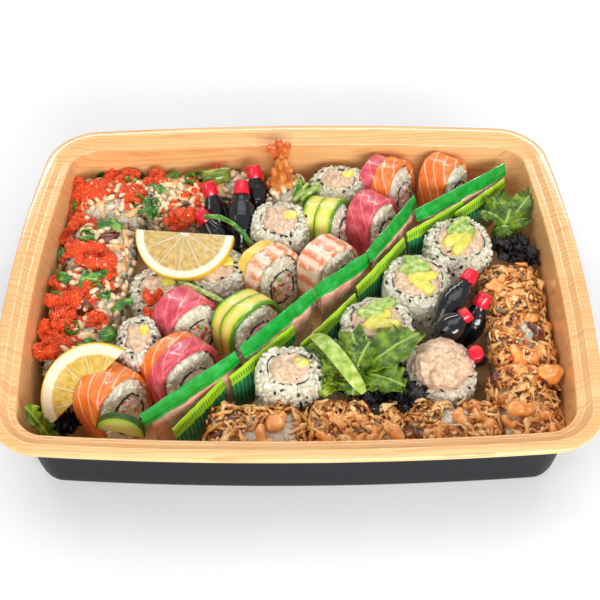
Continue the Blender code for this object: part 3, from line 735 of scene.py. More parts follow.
def ring_strip(half_a, half_b, tube, power=2.6):
    """A thin closed strip round a rounded oval in the plane of X and Y."""
    deselect()
    bpy.ops.mesh.primitive_torus_add(major_segments=36, minor_segments=6, major_radius=MM, minor_radius=0.1 * MM)
    obj = bpy.context.object

    def rule(point):
        angle = math.atan2(point.y, point.x)
        side, up = superpoint(math.pi / 2 - angle, 1.0, 1.0, power)
        out = (math.hypot(point.x, point.y) - 1.0) * 10 * tube
        wave = 0.7 * noise.noise(Vector((side * 2.5, up * 2.5, half_a)))
        return (side * (half_a + out + wave), up * (half_b + out + wave), point.z * 10 * tube * 1.6)

    move_points(obj, rule)
    smooth(obj)
    return obj


def placed(obj, *turns):
    """Move the points of a shape by some matrices, first to last."""
    for turn in turns:
        obj.data.transform(turn)
    return obj


def shift(x, y, z):
    return Matrix.Translation(Vector((x, y, z)) * MM)


def crab_filling(name, half_a, half_b, place, seed):
    """The filling that shows in a cut face: crab shreds, a green bit and a ring of seaweed."""
    core = bulk(half_a, half_b, 1.5, 2.2, 4.0, 24, 10)
    roughen(core, 1.3, 3.0, seed)
    smooth(core)
    put_by("crab", placed(core, LYING, place))
    draw = random.Random(seed)
    for number in range(9):
        turn = draw.uniform(0, math.tau)
        reach = draw.uniform(0.2, 0.85)
        piece = bulk(draw.uniform(1.6, 2.8), draw.uniform(1.0, 1.6), 1.4, 2.4, 4.0, 10, 6)
        spin = Matrix.Rotation(draw.uniform(0, math.tau), 4, "Z")
        spot = shift(half_a * reach * math.cos(turn), half_b * reach * math.sin(turn), 1.0)
        kind = "crab" if number < 7 else "garden"
        smooth(piece)
        put_by(kind, placed(piece, spin, spot, LYING, place))
    put_by("nori", placed(ring_strip(half_a + 1.2, half_b + 1.2, 0.55), LYING, place))


def build_topped(name, turn, length, width, first, second, seed):
    """A rice roll on its side under one or two slabs."""
    middle, size, top = box_mm(name)
    height = size.z
    half_side, half_up = width / 2 - FISH_SLAB, (height - FISH_SLAB) / 2
    stand = upright(name, turn) @ shift(0, 0, 1.6) @ Matrix.Rotation(math.radians(-9.0), 4, "Y")
    core = bulk(half_side, half_up, length / 2 - 1.0, ARCH_POWER, 9.0, 36, 20)
    placed(core, LYING, shift(0, 0, half_up))
    roughen(core, 0.6, 4.0, seed)
    smooth(core)
    bare = spots(core, 230, seed, lambda p, n: p[2] > 3 and (n[0] > 0.5 or p[0] > length * 0.33), 2.6)
    bare += spots(core, 150, seed + 1, lambda p, n: p[2] > 3 and p[0] <= length * 0.33 and (n[2] < 0.0 or n[0] < -0.5),
                  2.8)
    bare = [(p, n) for p, n in bare if not (n[0] > 0.5 and p[0] > 0 and math.hypot(
        p[1] / (half_side * 0.6), (p[2] - half_up) / (half_up * 0.55)) < 1.0)]
    put_by("topped_grains", placed(scattered(RICE_GRAIN, bare, np.random.default_rng(seed), (0.8, 1.15), 0.35, 0.35),
                                   stand))
    face = stand @ shift(length / 2 - 1.0, 0, half_up)
    crab_filling(name, half_side * 0.56, half_up * 0.50, face, seed)
    dress(placed(core, stand), name + ".rice", FINISHES["rice"], "rice", name)
    cover = 2.05
    layers = [(first, -0.46, 0.40)] if second is None else [(first, -0.46, 0.06), (second, -0.08, 0.42)]
    for number, (kind, start, end) in enumerate(layers):
        lift = 0.8 * number
        skew = 2.5 if second else 1.5
        thin = 2.7 if kind in ("avocado", "mango") else FISH_SLAB
        slab = drape(start * length, end * length, half_side + lift, half_up + lift / 2, cover, thin, skew,
                     seed + number, 0.12)
        dress(placed(slab, stand), f"{name}.slab_{number + 1}", FINISHES[kind], kind, name)


def build_standing(name, turn, length, width, kind, seed):
    """A roll on end, with its filling in a ring of seaweed and rice."""
    middle, size, top = box_mm(name)
    mound = {"mayo": 2.0, "garden": 1.0, "mound": 15.0}[kind]
    height = size.z - mound
    draw = random.Random(seed)
    lean = Matrix(((1, 0, 0, 0), (0, 1, 0, 0), (draw.uniform(-0.06, 0.06), 0.09, 1, 2.2 * MM), (0, 0, 0, 1)))
    stand = upright(name, 0) @ lean @ Matrix.Rotation(math.radians(turn), 4, "Z")
    core = bulk(length / 2 + 0.3, width / 2 + 0.3, height / 2 - 0.2, 2.5, 8.0, 36, 20)
    placed(core, shift(0, 0, height / 2))
    roughen(core, 0.8, 6.0, seed)
    smooth(core)
    opening = 0.36 if kind == "garden" else 0.31
    open_a, open_b = length * opening, width * (opening - 0.01)
    bare = spots(core, 420, seed, lambda p, n: p[2] > 4, 2.5)
    if kind != "mound":
        bare = [(p, n) for p, n in bare if not (n[2] > 0.5 and math.hypot(p[0] / open_a, p[1] / open_b) < 1.0)]
    put_by("standing_grains", placed(scattered(RICE_GRAIN, bare, np.random.default_rng(seed), (0.85, 1.2), -0.1,
                                               0.45), stand))
    seeds = spots(core, 60, seed + 2, lambda p, n: n[2] > -0.2, 3.0)
    put_by("sesame", placed(scattered(SESAME, seeds, np.random.default_rng(seed), (0.8, 1.2), -1.7), stand))
    top_place = stand @ shift(0, 0, height - 0.8)
    if kind == "mound":
        heap = bulk(length * 0.42, width * 0.38, mound * 0.95, 2.2, 2.6, 64, 36)
        roughen(heap, 3.0, 8.0, seed)
        roughen(heap, 2.2, 3.6, seed)
        roughen(heap, 0.9, 1.6, seed)
        smooth(heap)
        dress(placed(heap, top_place), name + ".filling", FINISHES["filling"], "filling", name)
    else:
        heap = bulk(open_a, open_b, 2.8 + mound * 0.5, 2.2, 3.0, 44, 20)
        roughen(heap, 2.6, 6.0, seed)
        roughen(heap, 1.3, 2.0, seed)
        smooth(heap)
        dress(placed(heap, top_place), name + ".filling", FINISHES["filling"], "filling", name)
        put_by("nori", placed(ring_strip(open_a + 0.8, open_b + 0.8, 0.36), top_place, shift(0, 0, 0.5)))
        if kind == "garden":
            for number in range(4):
                piece = bulk(open_a * 0.66, open_b * 0.30, 3.4, 2.6, 4.0, 20, 12)
                roughen(piece, 1.4, 3.0, seed + number)
                smooth(piece)
                spin = Matrix.Rotation(draw.uniform(-0.6, 0.6), 4, "Z")
                spot = shift(draw.uniform(-0.2, 0.3) * open_a, open_b * (0.66 - 0.34 * number), 2.4)
                put_by("garden" if number < 2 else "avocado_bits", placed(piece, spin, spot, top_place))
        else:
            piece = bulk(open_a * 0.42, open_b * 0.36, 3.0, 2.6, 4.0, 14, 8)
            roughen(piece, 0.8, 2.5, seed)
            smooth(piece)
            put_by("avocado_bits", placed(piece, shift(open_a * 0.6, open_b * 0.3, 1.6), top_place))
    dress(placed(core, stand), name + ".rice", FINISHES["rice"], "rice", name)


def build_block(name, turn, length, width, height, seed, kind, count):
    """A long rice roll on its side that carries a heap of toppings."""
    stand = upright(name, turn)
    core = bulk(width / 2 - 1.5, height / 2 - 1.0, length / 2 - 1.5, 3.0, 9.0, 36, 20)
    placed(core, LYING, shift(0, 0, height / 2))
    roughen(core, 0.8, 6.0, seed)
    smooth(core)
    bare = spots(core, count, seed, lambda p, n: p[2] > 6, 2.6)
    put_by(kind, placed(scattered(RICE_GRAIN, bare, np.random.default_rng(seed), (0.8, 1.15), 0.35, 0.35), stand))
    placed(core, stand)
    dress(core, name + ".rice", FINISHES["rice"], "rice", name)
    return core


# Places of toppings over the left and back rows: x, y, half width
ROE_CLUMPS = (
    (-158, 80, 9), (-151, 92, 10), (-133, 108, 11), (-121, 104, 9), (-139, 93, 9), (-99, 103, 9), (-107, 99, 7),
    (-156, 54, 10), (-151, 64, 8), (-141, 62, 8), (-131, 27, 11), (-139, 31, 9), (-125, 19, 8), (-148, -10, 11),
    (-151, -44, 11), (-154, -30, 9), (-147, -22, 9), (-130, -58, 9), (-139, -52, 9), (-94, 1, 6), (-83, -12, 7),
    (-92, -14, 6), (-77, 72, 10), (-86, 68, 7), (-69, 74, 7), (-57, 112, 8), (-30, 108, 6), (-155, 12, 8),
    (-148, 36, 8), (-113, 84, 6), (-128, -22, 6), (-136, 2, 7), (-119, 92, 6), (-68, 98, 6), (-14, 104, 5))


def surface_of(objects):
    """A tree of the faces of some objects, for finding the height of the food."""
    points, faces = [], []
    for obj in objects:
        base = len(points)
        points += [vert.co.copy() for vert in obj.data.vertices]
        faces += [[base + index for index in face.vertices] for face in obj.data.polygons]
    return BVHTree.FromPolygons(points, faces)


def drop(tree, x, y):
    """Where a thing let fall at a place comes to rest, with the normal there."""
    hit, normal, index, distance = tree.ray_cast(Vector((x, y, 120)) * MM, Vector((0, 0, -1)))
    if hit is None or hit.z < 0.015:
        return None
    return np.array(hit / MM), np.array(normal)

ONION_GREENS = (
    (-118, 102, "ring"), (-106, 92, "ring"), (-102, 77, "strip"), (-112, 82, "ring"), (-96, 77, "ring"),
    (-99, 92, "strip"), (-131, 68, "ring"), (-126, 57, "strip"), (-157, 42, "ring"), (-149, 21, "ring"),
    (-134, 10, "strip"), (-129, 14, "ring"), (-155, -3, "strip"), (-113, -5, "strip"), (-123, -19, "strip"),
    (-120, -35, "strip"), (-97, -31, "ring"), (-142, 45, "ring"), (-153, 68, "strip"), (-152, 83, "strip"),
    (-118, 113, "ring"), (-145, 108, "strip"), (-125, -3, "ring"), (-150, 10, "strip"), (-88, 108, "strip"),
    (-75, 102, "ring"), (-140, -30, "ring"), (-128, -45, "strip"), (-146, -55, "ring"), (-45, 113, "ring"),
)


def onion_ring_shape(radius, tall, wall):
    """A hollow slice of spring onion."""
    deselect()
    bpy.ops.mesh.primitive_cylinder_add(vertices=18, radius=radius * MM, depth=tall * MM, end_fill_type="NOTHING")
    obj = bpy.context.object
    move_points(obj, lambda p: (p.x * 1.15 + 0.2 * math.sin(p.y), p.y * 0.9, p.z + 0.25 * p.x * p.y / radius))
    thick = obj.modifiers.new("thick", "SOLIDIFY")
    thick.thickness = wall * MM
    soft = obj.modifiers.new("soft", "SUBSURF")
    soft.levels = soft.render_levels = 1
    apply_modifiers(obj)
    smooth(obj, 70.0)
    return obj


def onion_strip_shape(length, width, curl):
    """A curled strip of spring onion."""
    deselect()
    bpy.ops.mesh.primitive_grid_add(x_subdivisions=12, y_subdivisions=4, size=2 * MM)
    obj = bpy.context.object

    def rule(point):
        along = point.x * length / 2
        lift = curl * (1 - point.x ** 2) + 0.25 * width * (1 - point.y ** 2)
        return along, point.y * width / 2 + 0.9 * math.sin(point.x * 2.0), lift

    move_points(obj, rule)
    thick = obj.modifiers.new("thick", "SOLIDIFY")
    thick.thickness = 0.6 * MM
    soft = obj.modifiers.new("soft", "SUBSURF")
    soft.levels = soft.render_levels = 1
    apply_modifiers(obj)
    smooth(obj, 70.0)
    return obj


def lie_on(spot, spin, lift=0.0, lean=0.0):
    """Matrix that lays a shape on a found place, along its normal."""
    place, normal = spot
    up = Vector(normal).normalized()
    turn = up.to_track_quat("Z", "Y").to_matrix().to_4x4()
    return shift(*(Vector(place) + up * lift)) @ turn @ Matrix.Rotation(spin, 4, "Z") @ Matrix.Rotation(lean, 4, "X")


def shred_template(length, width, bend, twist):
    """A flat curled strip of fried onion."""
    deselect()
    bpy.ops.mesh.primitive_cube_add(size=2 * MM)
    obj = bpy.context.object
    focus(obj)
    bpy.ops.object.mode_set(mode="EDIT")
    for cut in (-0.66, -0.33, 0.0, 0.33, 0.66):
        bpy.ops.mesh.select_all(action="SELECT")
        bpy.ops.mesh.bisect(plane_co=(cut * MM, 0, 0), plane_no=(1, 0, 0))
    leave_edit()

    def rule(point):
        wide = width / 2 * (1.0 - 0.6 * abs(point.x) ** 2) * (1.0 + 0.5 * math.sin(5 * point.x + length))
        angle = twist * point.x
        side, up = point.y * wide, point.z * 0.4
        wave = 0.12 * length * math.sin(2.4 * point.x + twist)
        return (point.x * length / 2, side * math.cos(angle) - up * math.sin(angle) + bend * (1 - point.x ** 2),
                side * math.sin(angle) + up * math.cos(angle) + wave)

    move_points(obj, rule)
    return template(obj)


def lay_roe(clump, count, seed):
    """Cover a clump with eggs of roe."""
    balls = spots(clump, count, seed, lambda p, n: n[2] > -0.3, 0.9)
    put_by("roe_balls", scattered(ROE_BALL, balls, np.random.default_rng(seed), (0.75, 1.2), -0.25, 1.0))
    put_by("roe_core", clump)


def build_left_rows(cores):
    """Mayonnaise, glaze, puffed grains, spring onion and roe over the rows at the left and the back."""
    tree = surface_of(cores)
    draw = random.Random(4)
    joined = join_copies(cores)
    on_top = spots(joined, 110, 11, lambda p, n: n[2] > 0.35 and p[2] > 34, 8.0)
    for number, spot in enumerate(on_top):
        patch = bulk(draw.uniform(5, 10), draw.uniform(3, 5), draw.uniform(1.0, 1.5), 2.0, 2.6, 24, 10)
        move_points(patch, lambda p: (p.x, p.y + 2.5 * math.sin(p.x / 3.0 + number), p.z - 0.012 * p.x * p.x))
        roughen(patch, 1.6, 4.5, number)
        smooth(patch)
        kind = "glaze" if number % 5 == 3 else "mayo"
        put_by(kind, placed(patch, lie_on(spot, draw.uniform(0, math.tau), 0.9)))
    puffs = spots(joined, 760, 12, lambda p, n: n[2] > 0.0 and p[2] > 26 and (
        p[0] > -146 or noise.noise(Vector(p) / 17.0) > 0.0) and noise.noise(Vector(p) / 13.0) > -0.40, 3.7)
    put_by("puffed", scattered(PUFFED, puffs, np.random.default_rng(12), (0.85, 1.2), -2.7, 0.5))
    seeds = spots(joined, 160, 13, lambda p, n: n[2] > -0.2 and p[2] > 16, 3.0)
    put_by("sesame", scattered(SESAME, seeds, np.random.default_rng(13), (0.8, 1.2), -1.4))
    for number, (x, y, kind) in enumerate(ONION_GREENS):
        spot = drop(tree, x, y) or (np.array((x, y, 32.0 + 0.1 * number)), np.array((0.0, 0.0, 1.0)))
        for extra in range(2):
            if kind == "ring":
                piece = onion_ring_shape(draw.uniform(3.8, 5.6), draw.uniform(3.0, 5.0), 0.9)
            else:
                piece = onion_strip_shape(draw.uniform(10, 16), draw.uniform(5, 7.5), draw.uniform(1.0, 3.0))
            moved = (spot[0] + np.array((draw.uniform(-5, 5), draw.uniform(-5, 5), 0)) * extra, spot[1])
            put_by("greens", placed(piece, lie_on(moved, draw.uniform(0, math.tau), 3.4, draw.uniform(-0.7, 0.7))))
    for number, (x, y, half) in enumerate(ROE_CLUMPS):
        spot = drop(tree, x, y) or (np.array((x, y, 36.0)), np.array((0.0, 0.0, 1.0)))
        clump = bulk(half * 0.95, half * 0.8, half * 0.40, 2.0, 2.4, 30, 14)
        roughen(clump, half * 0.7, half * 0.7, number)
        roughen(clump, 2.0, 3.2, number)
        placed(clump, lie_on((spot[0], (0.0, 0.0, 1.0)), draw.uniform(0, math.tau), half * 0.2 + 1.0))
        lay_roe(clump, int(half * half * 3.6), number)
        for crumb in range(6):
            turn, reach, small = draw.uniform(0, math.tau), half * draw.uniform(0.95, 1.6), draw.uniform(1.5, 3.0)
            spot = drop(tree, x + reach * math.cos(turn), y + reach * math.sin(turn))
            if spot is not None:
                lump = bulk(small, small * 0.8, small * 0.7, 2.0, 2.4, 12, 8)
                roughen(lump, small * 0.6, small, number + crumb)
                lay_roe(placed(lump, lie_on(spot, turn, 2.2)), int(small * small * 6.0), number + crumb)
    loose = spots(joined, 700, 14, lambda p, n: n[2] > 0.1 and p[2] > 30 and noise.noise(Vector(p) / 15.0) > -0.1, 1.4)
    put_by("roe_balls", scattered(ROE_BALL, loose, np.random.default_rng(14), (0.75, 1.2), -1.9, 1.0))
    bpy.data.objects.remove(joined, do_unlink=True)
    build_left_extras(tree)


def ribbon(route, width, thickness, steps=6):
    """A thin flat strand along a route, thinner at its ends."""
    deselect()
    bpy.ops.mesh.primitive_cylinder_add(vertices=10, radius=MM, depth=2 * MM)
    obj = bpy.context.object
    focus(obj)
    bpy.ops.object.mode_set(mode="EDIT")
    cuts = steps * (len(route) - 1)
    for level in range(1, cuts):
        bpy.ops.mesh.select_all(action="SELECT")
        bpy.ops.mesh.bisect(plane_co=(0, 0, (-1 + 2 * level / cuts) * MM), plane_no=(0, 0, 1))
    leave_edit()
    route = [Vector(point) for point in route]

    def rule(point):
        share = (point.z + 1) / 2 * (len(route) - 1)
        step = min(int(share), len(route) - 2)
        before = route[max(step - 1, 0)]
        after = route[min(step + 2, len(route) - 1)]
        part = share - step
        first, second = route[step], route[step + 1]
        middle = 0.5 * ((2 * first) + (second - before) * part + (2 * before - 5 * first + 4 * second - after)
                        * part ** 2 + (3 * first - before - 3 * second + after) * part ** 3)
        heading = (second - first).normalized()
        level = heading.cross(Vector((0, 0, 1))).normalized()
        size = 1.0 - 0.6 * abs(point.z) ** 4
        return middle + (level * point.x * width / 2 + level.cross(heading) * point.y * thickness / 2) * size

    move_points(obj, rule)
    smooth(obj, 60.0)
    return obj


def build_left_extras(tree):
    """Drizzle down the side of the left rows, the pepper piece and the pale sticks by the prawn tail."""
    for x, y_from, y_to in ((-115.5, 62, 24), (-115.0, 18, -22), (-119.0, -28, -52)):
        route = []
        for step in range(7):
            y = y_from + (y_to - y_from) * step / 6
            spot = drop(tree, x + 2.0 * math.sin(step * 1.7), y)
            if spot is not None:
                route.append(Vector(spot[0]) + Vector((0, 0, 1.2)))
        if len(route) > 2:
            put_by("orange_mayo", ribbon(route, 3.2, 1.6))
    pepper = onion_strip_shape(20, 12, 3.0)
    put_by("pepper", placed(pepper, Matrix.Rotation(0.7, 4, "X"), shift(-57, 104, 46)))
    draw = random.Random(31)
    for number in range(5):
        stick = bulk(1.7, 1.7, 9.0, 3.4, 6.0, 16, 10)
        turn = Matrix.Rotation(draw.uniform(1.1, 1.5), 4, "Y") @ Matrix.Rotation(draw.uniform(-0.3, 0.3), 4, "X")
        spin = Matrix.Rotation(draw.uniform(0.2, 1.2), 4, "Z")
        smooth(stick)
        put_by("garden", placed(stick, turn, spin, shift(4 + draw.uniform(-6, 6), 88 + draw.uniform(-6, 8),
                                                         43 + 1.4 * number)))
    put_by("greens", ribbon(((-2, 84, 43), (1, 90, 46), (3, 97, 52)), 3.4, 1.0))
    put_by("garden", ribbon(((-78, 12, 41), (-66, 5, 42), (-54, -3, 43), (-46, -9, 44)), 4.0, 1.4))


def join_copies(objects):
    """One shape of copies of some objects, for scattering on."""
    made = [copy_of(obj) for obj in objects]
    for obj in made:
        obj.parent = None
        obj.matrix_world = Matrix.Identity(4)
    deselect()
    for obj in made:
        obj.select_set(True)
    bpy.context.view_layer.objects.active = made[0]
    bpy.ops.object.join()
    return bpy.context.object


def build_right_rows(cores):
    """Fried onion, orange mayonnaise and sauce over the rows at the right and the front."""
    draw = random.Random(8)
    joined = join_copies(cores)
    on_top = spots(joined, 130, 21, lambda p, n: n[2] > 0.3 and p[2] > 30 and p[1] > -112, 7.5)
    for number, spot in enumerate(on_top):
        patch = bulk(draw.uniform(4, 9), draw.uniform(3, 5), draw.uniform(2.0, 3.4), 2.0, 2.6, 24, 10)
        move_points(patch, lambda p: (p.x, p.y + 2.5 * math.sin(p.x / 3.0 + number), p.z))
        roughen(patch, 2.0, 4.5, number + 50)
        smooth(patch)
        kind = "glaze" if number % 5 == 3 else "orange_mayo"
        put_by(kind, placed(patch, lie_on(spot, draw.uniform(0, math.tau), 1.8)))
    for number, (x, y, z, half) in enumerate(((152, -66, 45, 8), (130, -92, 46, 7), (128, 2, 45, 6), (-12, -100, 45, 6))):
        blob = bulk(half, half * 0.7, half * 0.5, 2.0, 2.6, 30, 16)
        roughen(blob, 2.5, 5.0, number + 80)
        smooth(blob)
        put_by("orange_mayo", placed(blob, shift(x, y, z)))
    base = spots(joined, 3000, 22, lambda p, n: n[2] > 0.1 and p[2] > 26 and p[1] > -109 and p[0] < 157 and not (
        p[0] < 125 and p[1] > -62) and
                 noise.noise(Vector(p) / 16.0) > -0.30, 1.2)
    draws = np.random.default_rng(22)
    for number, lift in enumerate((3.0, 2.0, 0.8, 2.6, 0.4, 3.4)):
        share = base[number::6]
        put_by("shreds", scattered(SHREDS[number], share, draws, (0.6, 1.25), -lift, 0.7))
    crumbs = spots(joined, 2600, 24, lambda p, n: n[2] > 0.2 and p[2] > 28 and p[1] > -109 and p[0] < 157 and
                   noise.noise(Vector(p) / 16.0) > -0.25, 1.2)
    put_by("crumbs", scattered(ONION_CRUMB, crumbs, draws, (0.6, 1.4), -4.2, 0.9))
    bits = spots(joined, 40, 23, lambda p, n: n[2] > 0.3 and p[2] > 30, 6.0)
    put_by("red_bits", scattered(CHILLI, bits[:16], draws, (0.7, 1.3), -4.0, 0.6))
    bpy.data.objects.remove(joined, do_unlink=True)


def along_line(start, end):
    """Matrix whose X axis runs from one point to another, with Z upwards."""
    heading = (Vector(end) - Vector(start)).normalized()
    level = Vector((0, 0, 1)).cross(heading).normalized()
    up = heading.cross(level)
    turn = Matrix((heading, level, up)).transposed().to_4x4()
    return Matrix.Translation(Vector(start) * MM) @ turn


SOY_BOTTLES = {
    "soy_bottle_1": ((-62, 91, 54), (-50, 62, 16)),
    "soy_bottle_2": ((-38, 88, 57), (-38, 47, 33)),
    "soy_bottle_3": ((-30, 105, 56), (-27, 76, 22)),
    "soy_bottle_4": ((-68, 69, 48), (-37, 45, 18)),
    "soy_bottle_5": ((113, 6, 55), (88, -27, 40)),
    "soy_bottle_6": ((120, -9, 50), (104, -27, 16)),
    "soy_bottle_7": ((107, -28, 56), (85, -38, 42)),
    "soy_bottle_8": ((109, -52, 47), (113.5, -33, 10)),
}
BOTTLE_STATIONS = ((0.14, 3.0, 3.0), (0.20, 3.9, 3.9), (0.25, 4.6, 4.3), (0.31, 6.2, 5.2), (0.38, 7.6, 6.0),
                   (0.47, 8.3, 6.6), (0.56, 8.6, 6.8), (0.65, 8.0, 6.3), (0.74, 7.0, 5.6), (0.82, 5.2, 4.2),
                   (0.88, 3.8, 2.9), (0.94, 4.0, 2.0), (1.0, 4.4, 1.2))


def station(share):
    """Half width and half thickness of a bottle along its length."""
    for low, high in zip(BOTTLE_STATIONS, BOTTLE_STATIONS[1:]):
        if share <= high[0]:
            part = (share - low[0]) / (high[0] - low[0])
            part = max(part, 0.0)
            part = part * part * (3 - 2 * part)
            return tuple(low[k] + (high[k] - low[k]) * part for k in (1, 2))
    return BOTTLE_STATIONS[-1][1:]


def build_bottles():
    """Small fish-shaped soy bottles with red caps."""
    for number, (name, (cap_end, tail)) in enumerate(SOY_BOTTLES.items()):
        reach = (Vector(tail) - Vector(cap_end)).length
        place = along_line(cap_end, tail)
        deselect()
        bpy.ops.mesh.primitive_uv_sphere_add(segments=32, ring_count=32, radius=MM)
        body = bpy.context.object
        body.data.transform(Matrix.Rotation(math.pi / 2, 4, "Y"))
        shares = []

        def rule(point):
            share = 0.14 + 0.86 * (0.5 + 0.5 * math.sin(math.pi / 2 * max(-1.0, min(1.0, point.x))))
            wide, thick = station(share)
            wide *= 1.06
            flat = math.hypot(point.y, point.z)
            round_off = min(1.0, flat / 0.30)
            c, s = (point.y / flat, point.z / flat) if flat > 1e-6 else (0.0, 0.0)
            seam = 0.7 * max(0.0, 1.0 - abs(s) / 0.12) if share > 0.3 else 0.0
            shares.append((share * reach, math.atan2(s, c), seam))
            return share * reach, c * (wide * round_off + seam), s * thick * round_off

        move_points(body, rule)
        layer = body.data.attributes.new("bottle", "FLOAT_VECTOR", "POINT")
        layer.data.foreach_set("vector", np.array(shares, np.float32).ravel())
        smooth(body, 60.0)
        dress(placed(body, place), name + ".body", FINISHES["soy"], "soy_bottle", name)
        deselect()
        bpy.ops.mesh.primitive_cylinder_add(vertices=40, radius=5.2 * MM, depth=0.2 * reach * MM)
        cap = bpy.context.object
        cap.data.transform(Matrix.Rotation(math.pi / 2, 4, "Y"))
        cap.data.transform(shift(0.1 * reach, 0, 0))
        pick_faces(cap, lambda face: abs(face.normal.x) > 0.9)
        bpy.ops.mesh.bevel(offset=0.7 * MM, segments=2, affect="EDGES")
        leave_edit()
        move_points(cap, lambda p: (p.x, p.y * (0.86 + 0.026 * p.x), p.z * (0.86 + 0.026 * p.x)))
        smooth(cap, 40.0)
        dress(placed(cap, place), name + ".cap", FINISHES["cap"], "bottle_cap", name)


def half_round(radius, thickness, trim=0.0):
    """Half of a round slice: arc along Y, straight side along X, thickness below zero."""
    deselect()
    bpy.ops.mesh.primitive_cylinder_add(vertices=96, radius=radius * MM, depth=thickness * MM)
    obj = bpy.context.object
    obj.data.transform(shift(0, 0, -thickness / 2))
    focus(obj)
    bpy.ops.object.mode_set(mode="EDIT")
    bpy.ops.mesh.select_all(action="SELECT")
    bpy.ops.mesh.bisect(plane_co=(0, trim * MM, 0), plane_no=(0, -1, 0), use_fill=True, clear_outer=True)
    leave_edit()
    round_edge = obj.modifiers.new("round", "BEVEL")
    round_edge.width = 0.6 * MM
    round_edge.segments = 2
    round_edge.limit_method = "ANGLE"
    apply_modifiers(obj)
    smooth(obj, 40.0)
    note_points(obj, "slice", lambda p: (p.x, p.y, p.z))
    return obj


def slice_place(centre, straight, rise):
    """Matrix that lays a half slice with its upper side up."""
    along = Vector(straight).normalized()
    across = Vector(rise)
    across = (across - along * across.dot(along)).normalized()
    normal = along.cross(across)
    if normal.z < 0:
        along, normal = -along, -normal
    return Matrix.Translation(Vector(centre) * MM) @ Matrix((along, across, normal)).transposed().to_4x4()


def build_garnish():
    """Lemon halves, the cucumber fan and the onion stalk."""
    back = placed(half_round(LEMON_RADIUS, 7.0), slice_place((-74, 42, 55), (1, -0.1, 0), (0, -1, -0.36)))
    dress(back, "lemon_slice_back.slice", FINISHES["lemon_back"], "lemon", "lemon_slice_back")
    front = placed(half_round(LEMON_RADIUS, 7.0, 8.0),
                   slice_place((-118.8, -80.6, 43), (0.71, 0.55, 0.445), (-0.71, 0.55, 0.445)))
    dress(front, "lemon_slice_front.slice", FINISHES["lemon_front"], "lemon", "lemon_slice_front")
    for number, turn in enumerate((-14, 0, 14)):
        fan = placed(half_round(CUCUMBER_RADIUS, 1.4), Matrix.Rotation(math.radians(turn), 4, "Z"), shift(0, 0, -1.4 * number),
                     slice_place((-101.5, -104.9, 43.5), (1, -0.1, 0), (0, 0.1, 1)))
        dress(fan, f"cucumber_fan.slice_{number + 1}", FINISHES["cucumber_slice"], "cucumber", "cucumber_fan")
    route = [Vector(p) for p in ((-62, 58, 53), (-52, 57, 54), (-43, 53, 52), (-36, 47, 49), (-31, 41, 44))]
    deselect()
    bpy.ops.mesh.primitive_cylinder_add(vertices=14, radius=MM, depth=2 * MM)
    stalk = bpy.context.object
    focus(stalk)
    bpy.ops.object.mode_set(mode="EDIT")
    bpy.ops.mesh.select_all(action="SELECT")
    for level in range(1, 16):
        bpy.ops.mesh.select_all(action="SELECT")
        bpy.ops.mesh.bisect(plane_co=(0, 0, (-1 + level / 8) * MM), plane_no=(0, 0, 1))
    leave_edit()

    def bend(point):
        share = (point.z + 1) / 2 * (len(route) - 1)
        step = min(int(share), len(route) - 2)
        middle = route[step].lerp(route[step + 1], share - step)
        heading = (route[step + 1] - route[step]).normalized()
        level = heading.cross(Vector((0, 0, 1))).normalized()
        return middle + (level * point.x + level.cross(heading) * point.y) * 1.7

    move_points(stalk, bend)
    smooth(stalk, 60.0)
    dress(stalk, "onion_stalk.stem", FINISHES["greens"], "green_onion", "onion_stalk")


GINGER_PACKS = {
    "ginger_pack_1": (-63, -77, 40, 67, 54, 8),
    "ginger_pack_2": (-12, -30, 46, 61, 55, 10),
    "ginger_pack_3": (28, 8, 40, 43, 55, 12),
    "ginger_pack_4": (63, 49, 56, 60, 55, 10),
    "ginger_pack_5": (113, 83, 34, 78, 55, 10),
}
PASTE_SACHETS = {
    "paste_sachet_1": (-57.6, -86.6, 52, 44, 46, 5),
    "paste_sachet_2": (-21, -50, 46, 54, 48, 6),
    "paste_sachet_3": (20, -26, 49, 53, 48, 6),
    "paste_sachet_4": (55, 20, 52, 54, 49, 6),
    "paste_sachet_5": (94, 60, 36, 50, 49, 8),
    "paste_sachet_6": (127, 80, 41, 50, 49, 10),
}


def pillow(length, height, belly, lean, seed, low=0.0, high=1.0, across=26, levels=16):
    """An upright soft pack: two sheets sealed round their edge, full in the middle."""
    deselect()
    bpy.ops.mesh.primitive_cube_add(size=2 * MM)
    obj = bpy.context.object
    focus(obj)
    bpy.ops.object.mode_set(mode="EDIT")
    bpy.ops.mesh.select_all(action="SELECT")
    bpy.ops.mesh.subdivide(number_cuts=15)
    leave_edit()
    notes = []

    def rule(point):
        share = low + (high - low) * (point.z + 1) / 2
        full = math.sin(math.pi * min(1.0, max(0.0, share))) ** 0.6 * (1.0 - abs(point.x) ** 4)
        half = 0.35 + belly / 2 * full
        crease = 0.8 * noise.noise(Vector((point.x * 4.0, share * 5.0, seed))) * (0.3 + full)
        fold = 0.5 * noise.noise(Vector((point.x * 14.0, share * 3.0, seed + 3)))
        along = point.x * length / 2
        back = -lean * (1 - max(0.0, (share - 0.8) / 0.2))
        notes.append((along, share * height, share))
        return along, back + point.y * half + crease + fold, share * height + 0.6 * noise.noise(
            Vector((point.x * 3.0, seed, 0.0)))

    move_points(obj, rule)
    layer = obj.data.attributes.new("pack", "FLOAT_VECTOR", "POINT")
    layer.data.foreach_set("vector", np.array(notes, np.float32).ravel())
    smooth(obj, 80.0)
    return obj


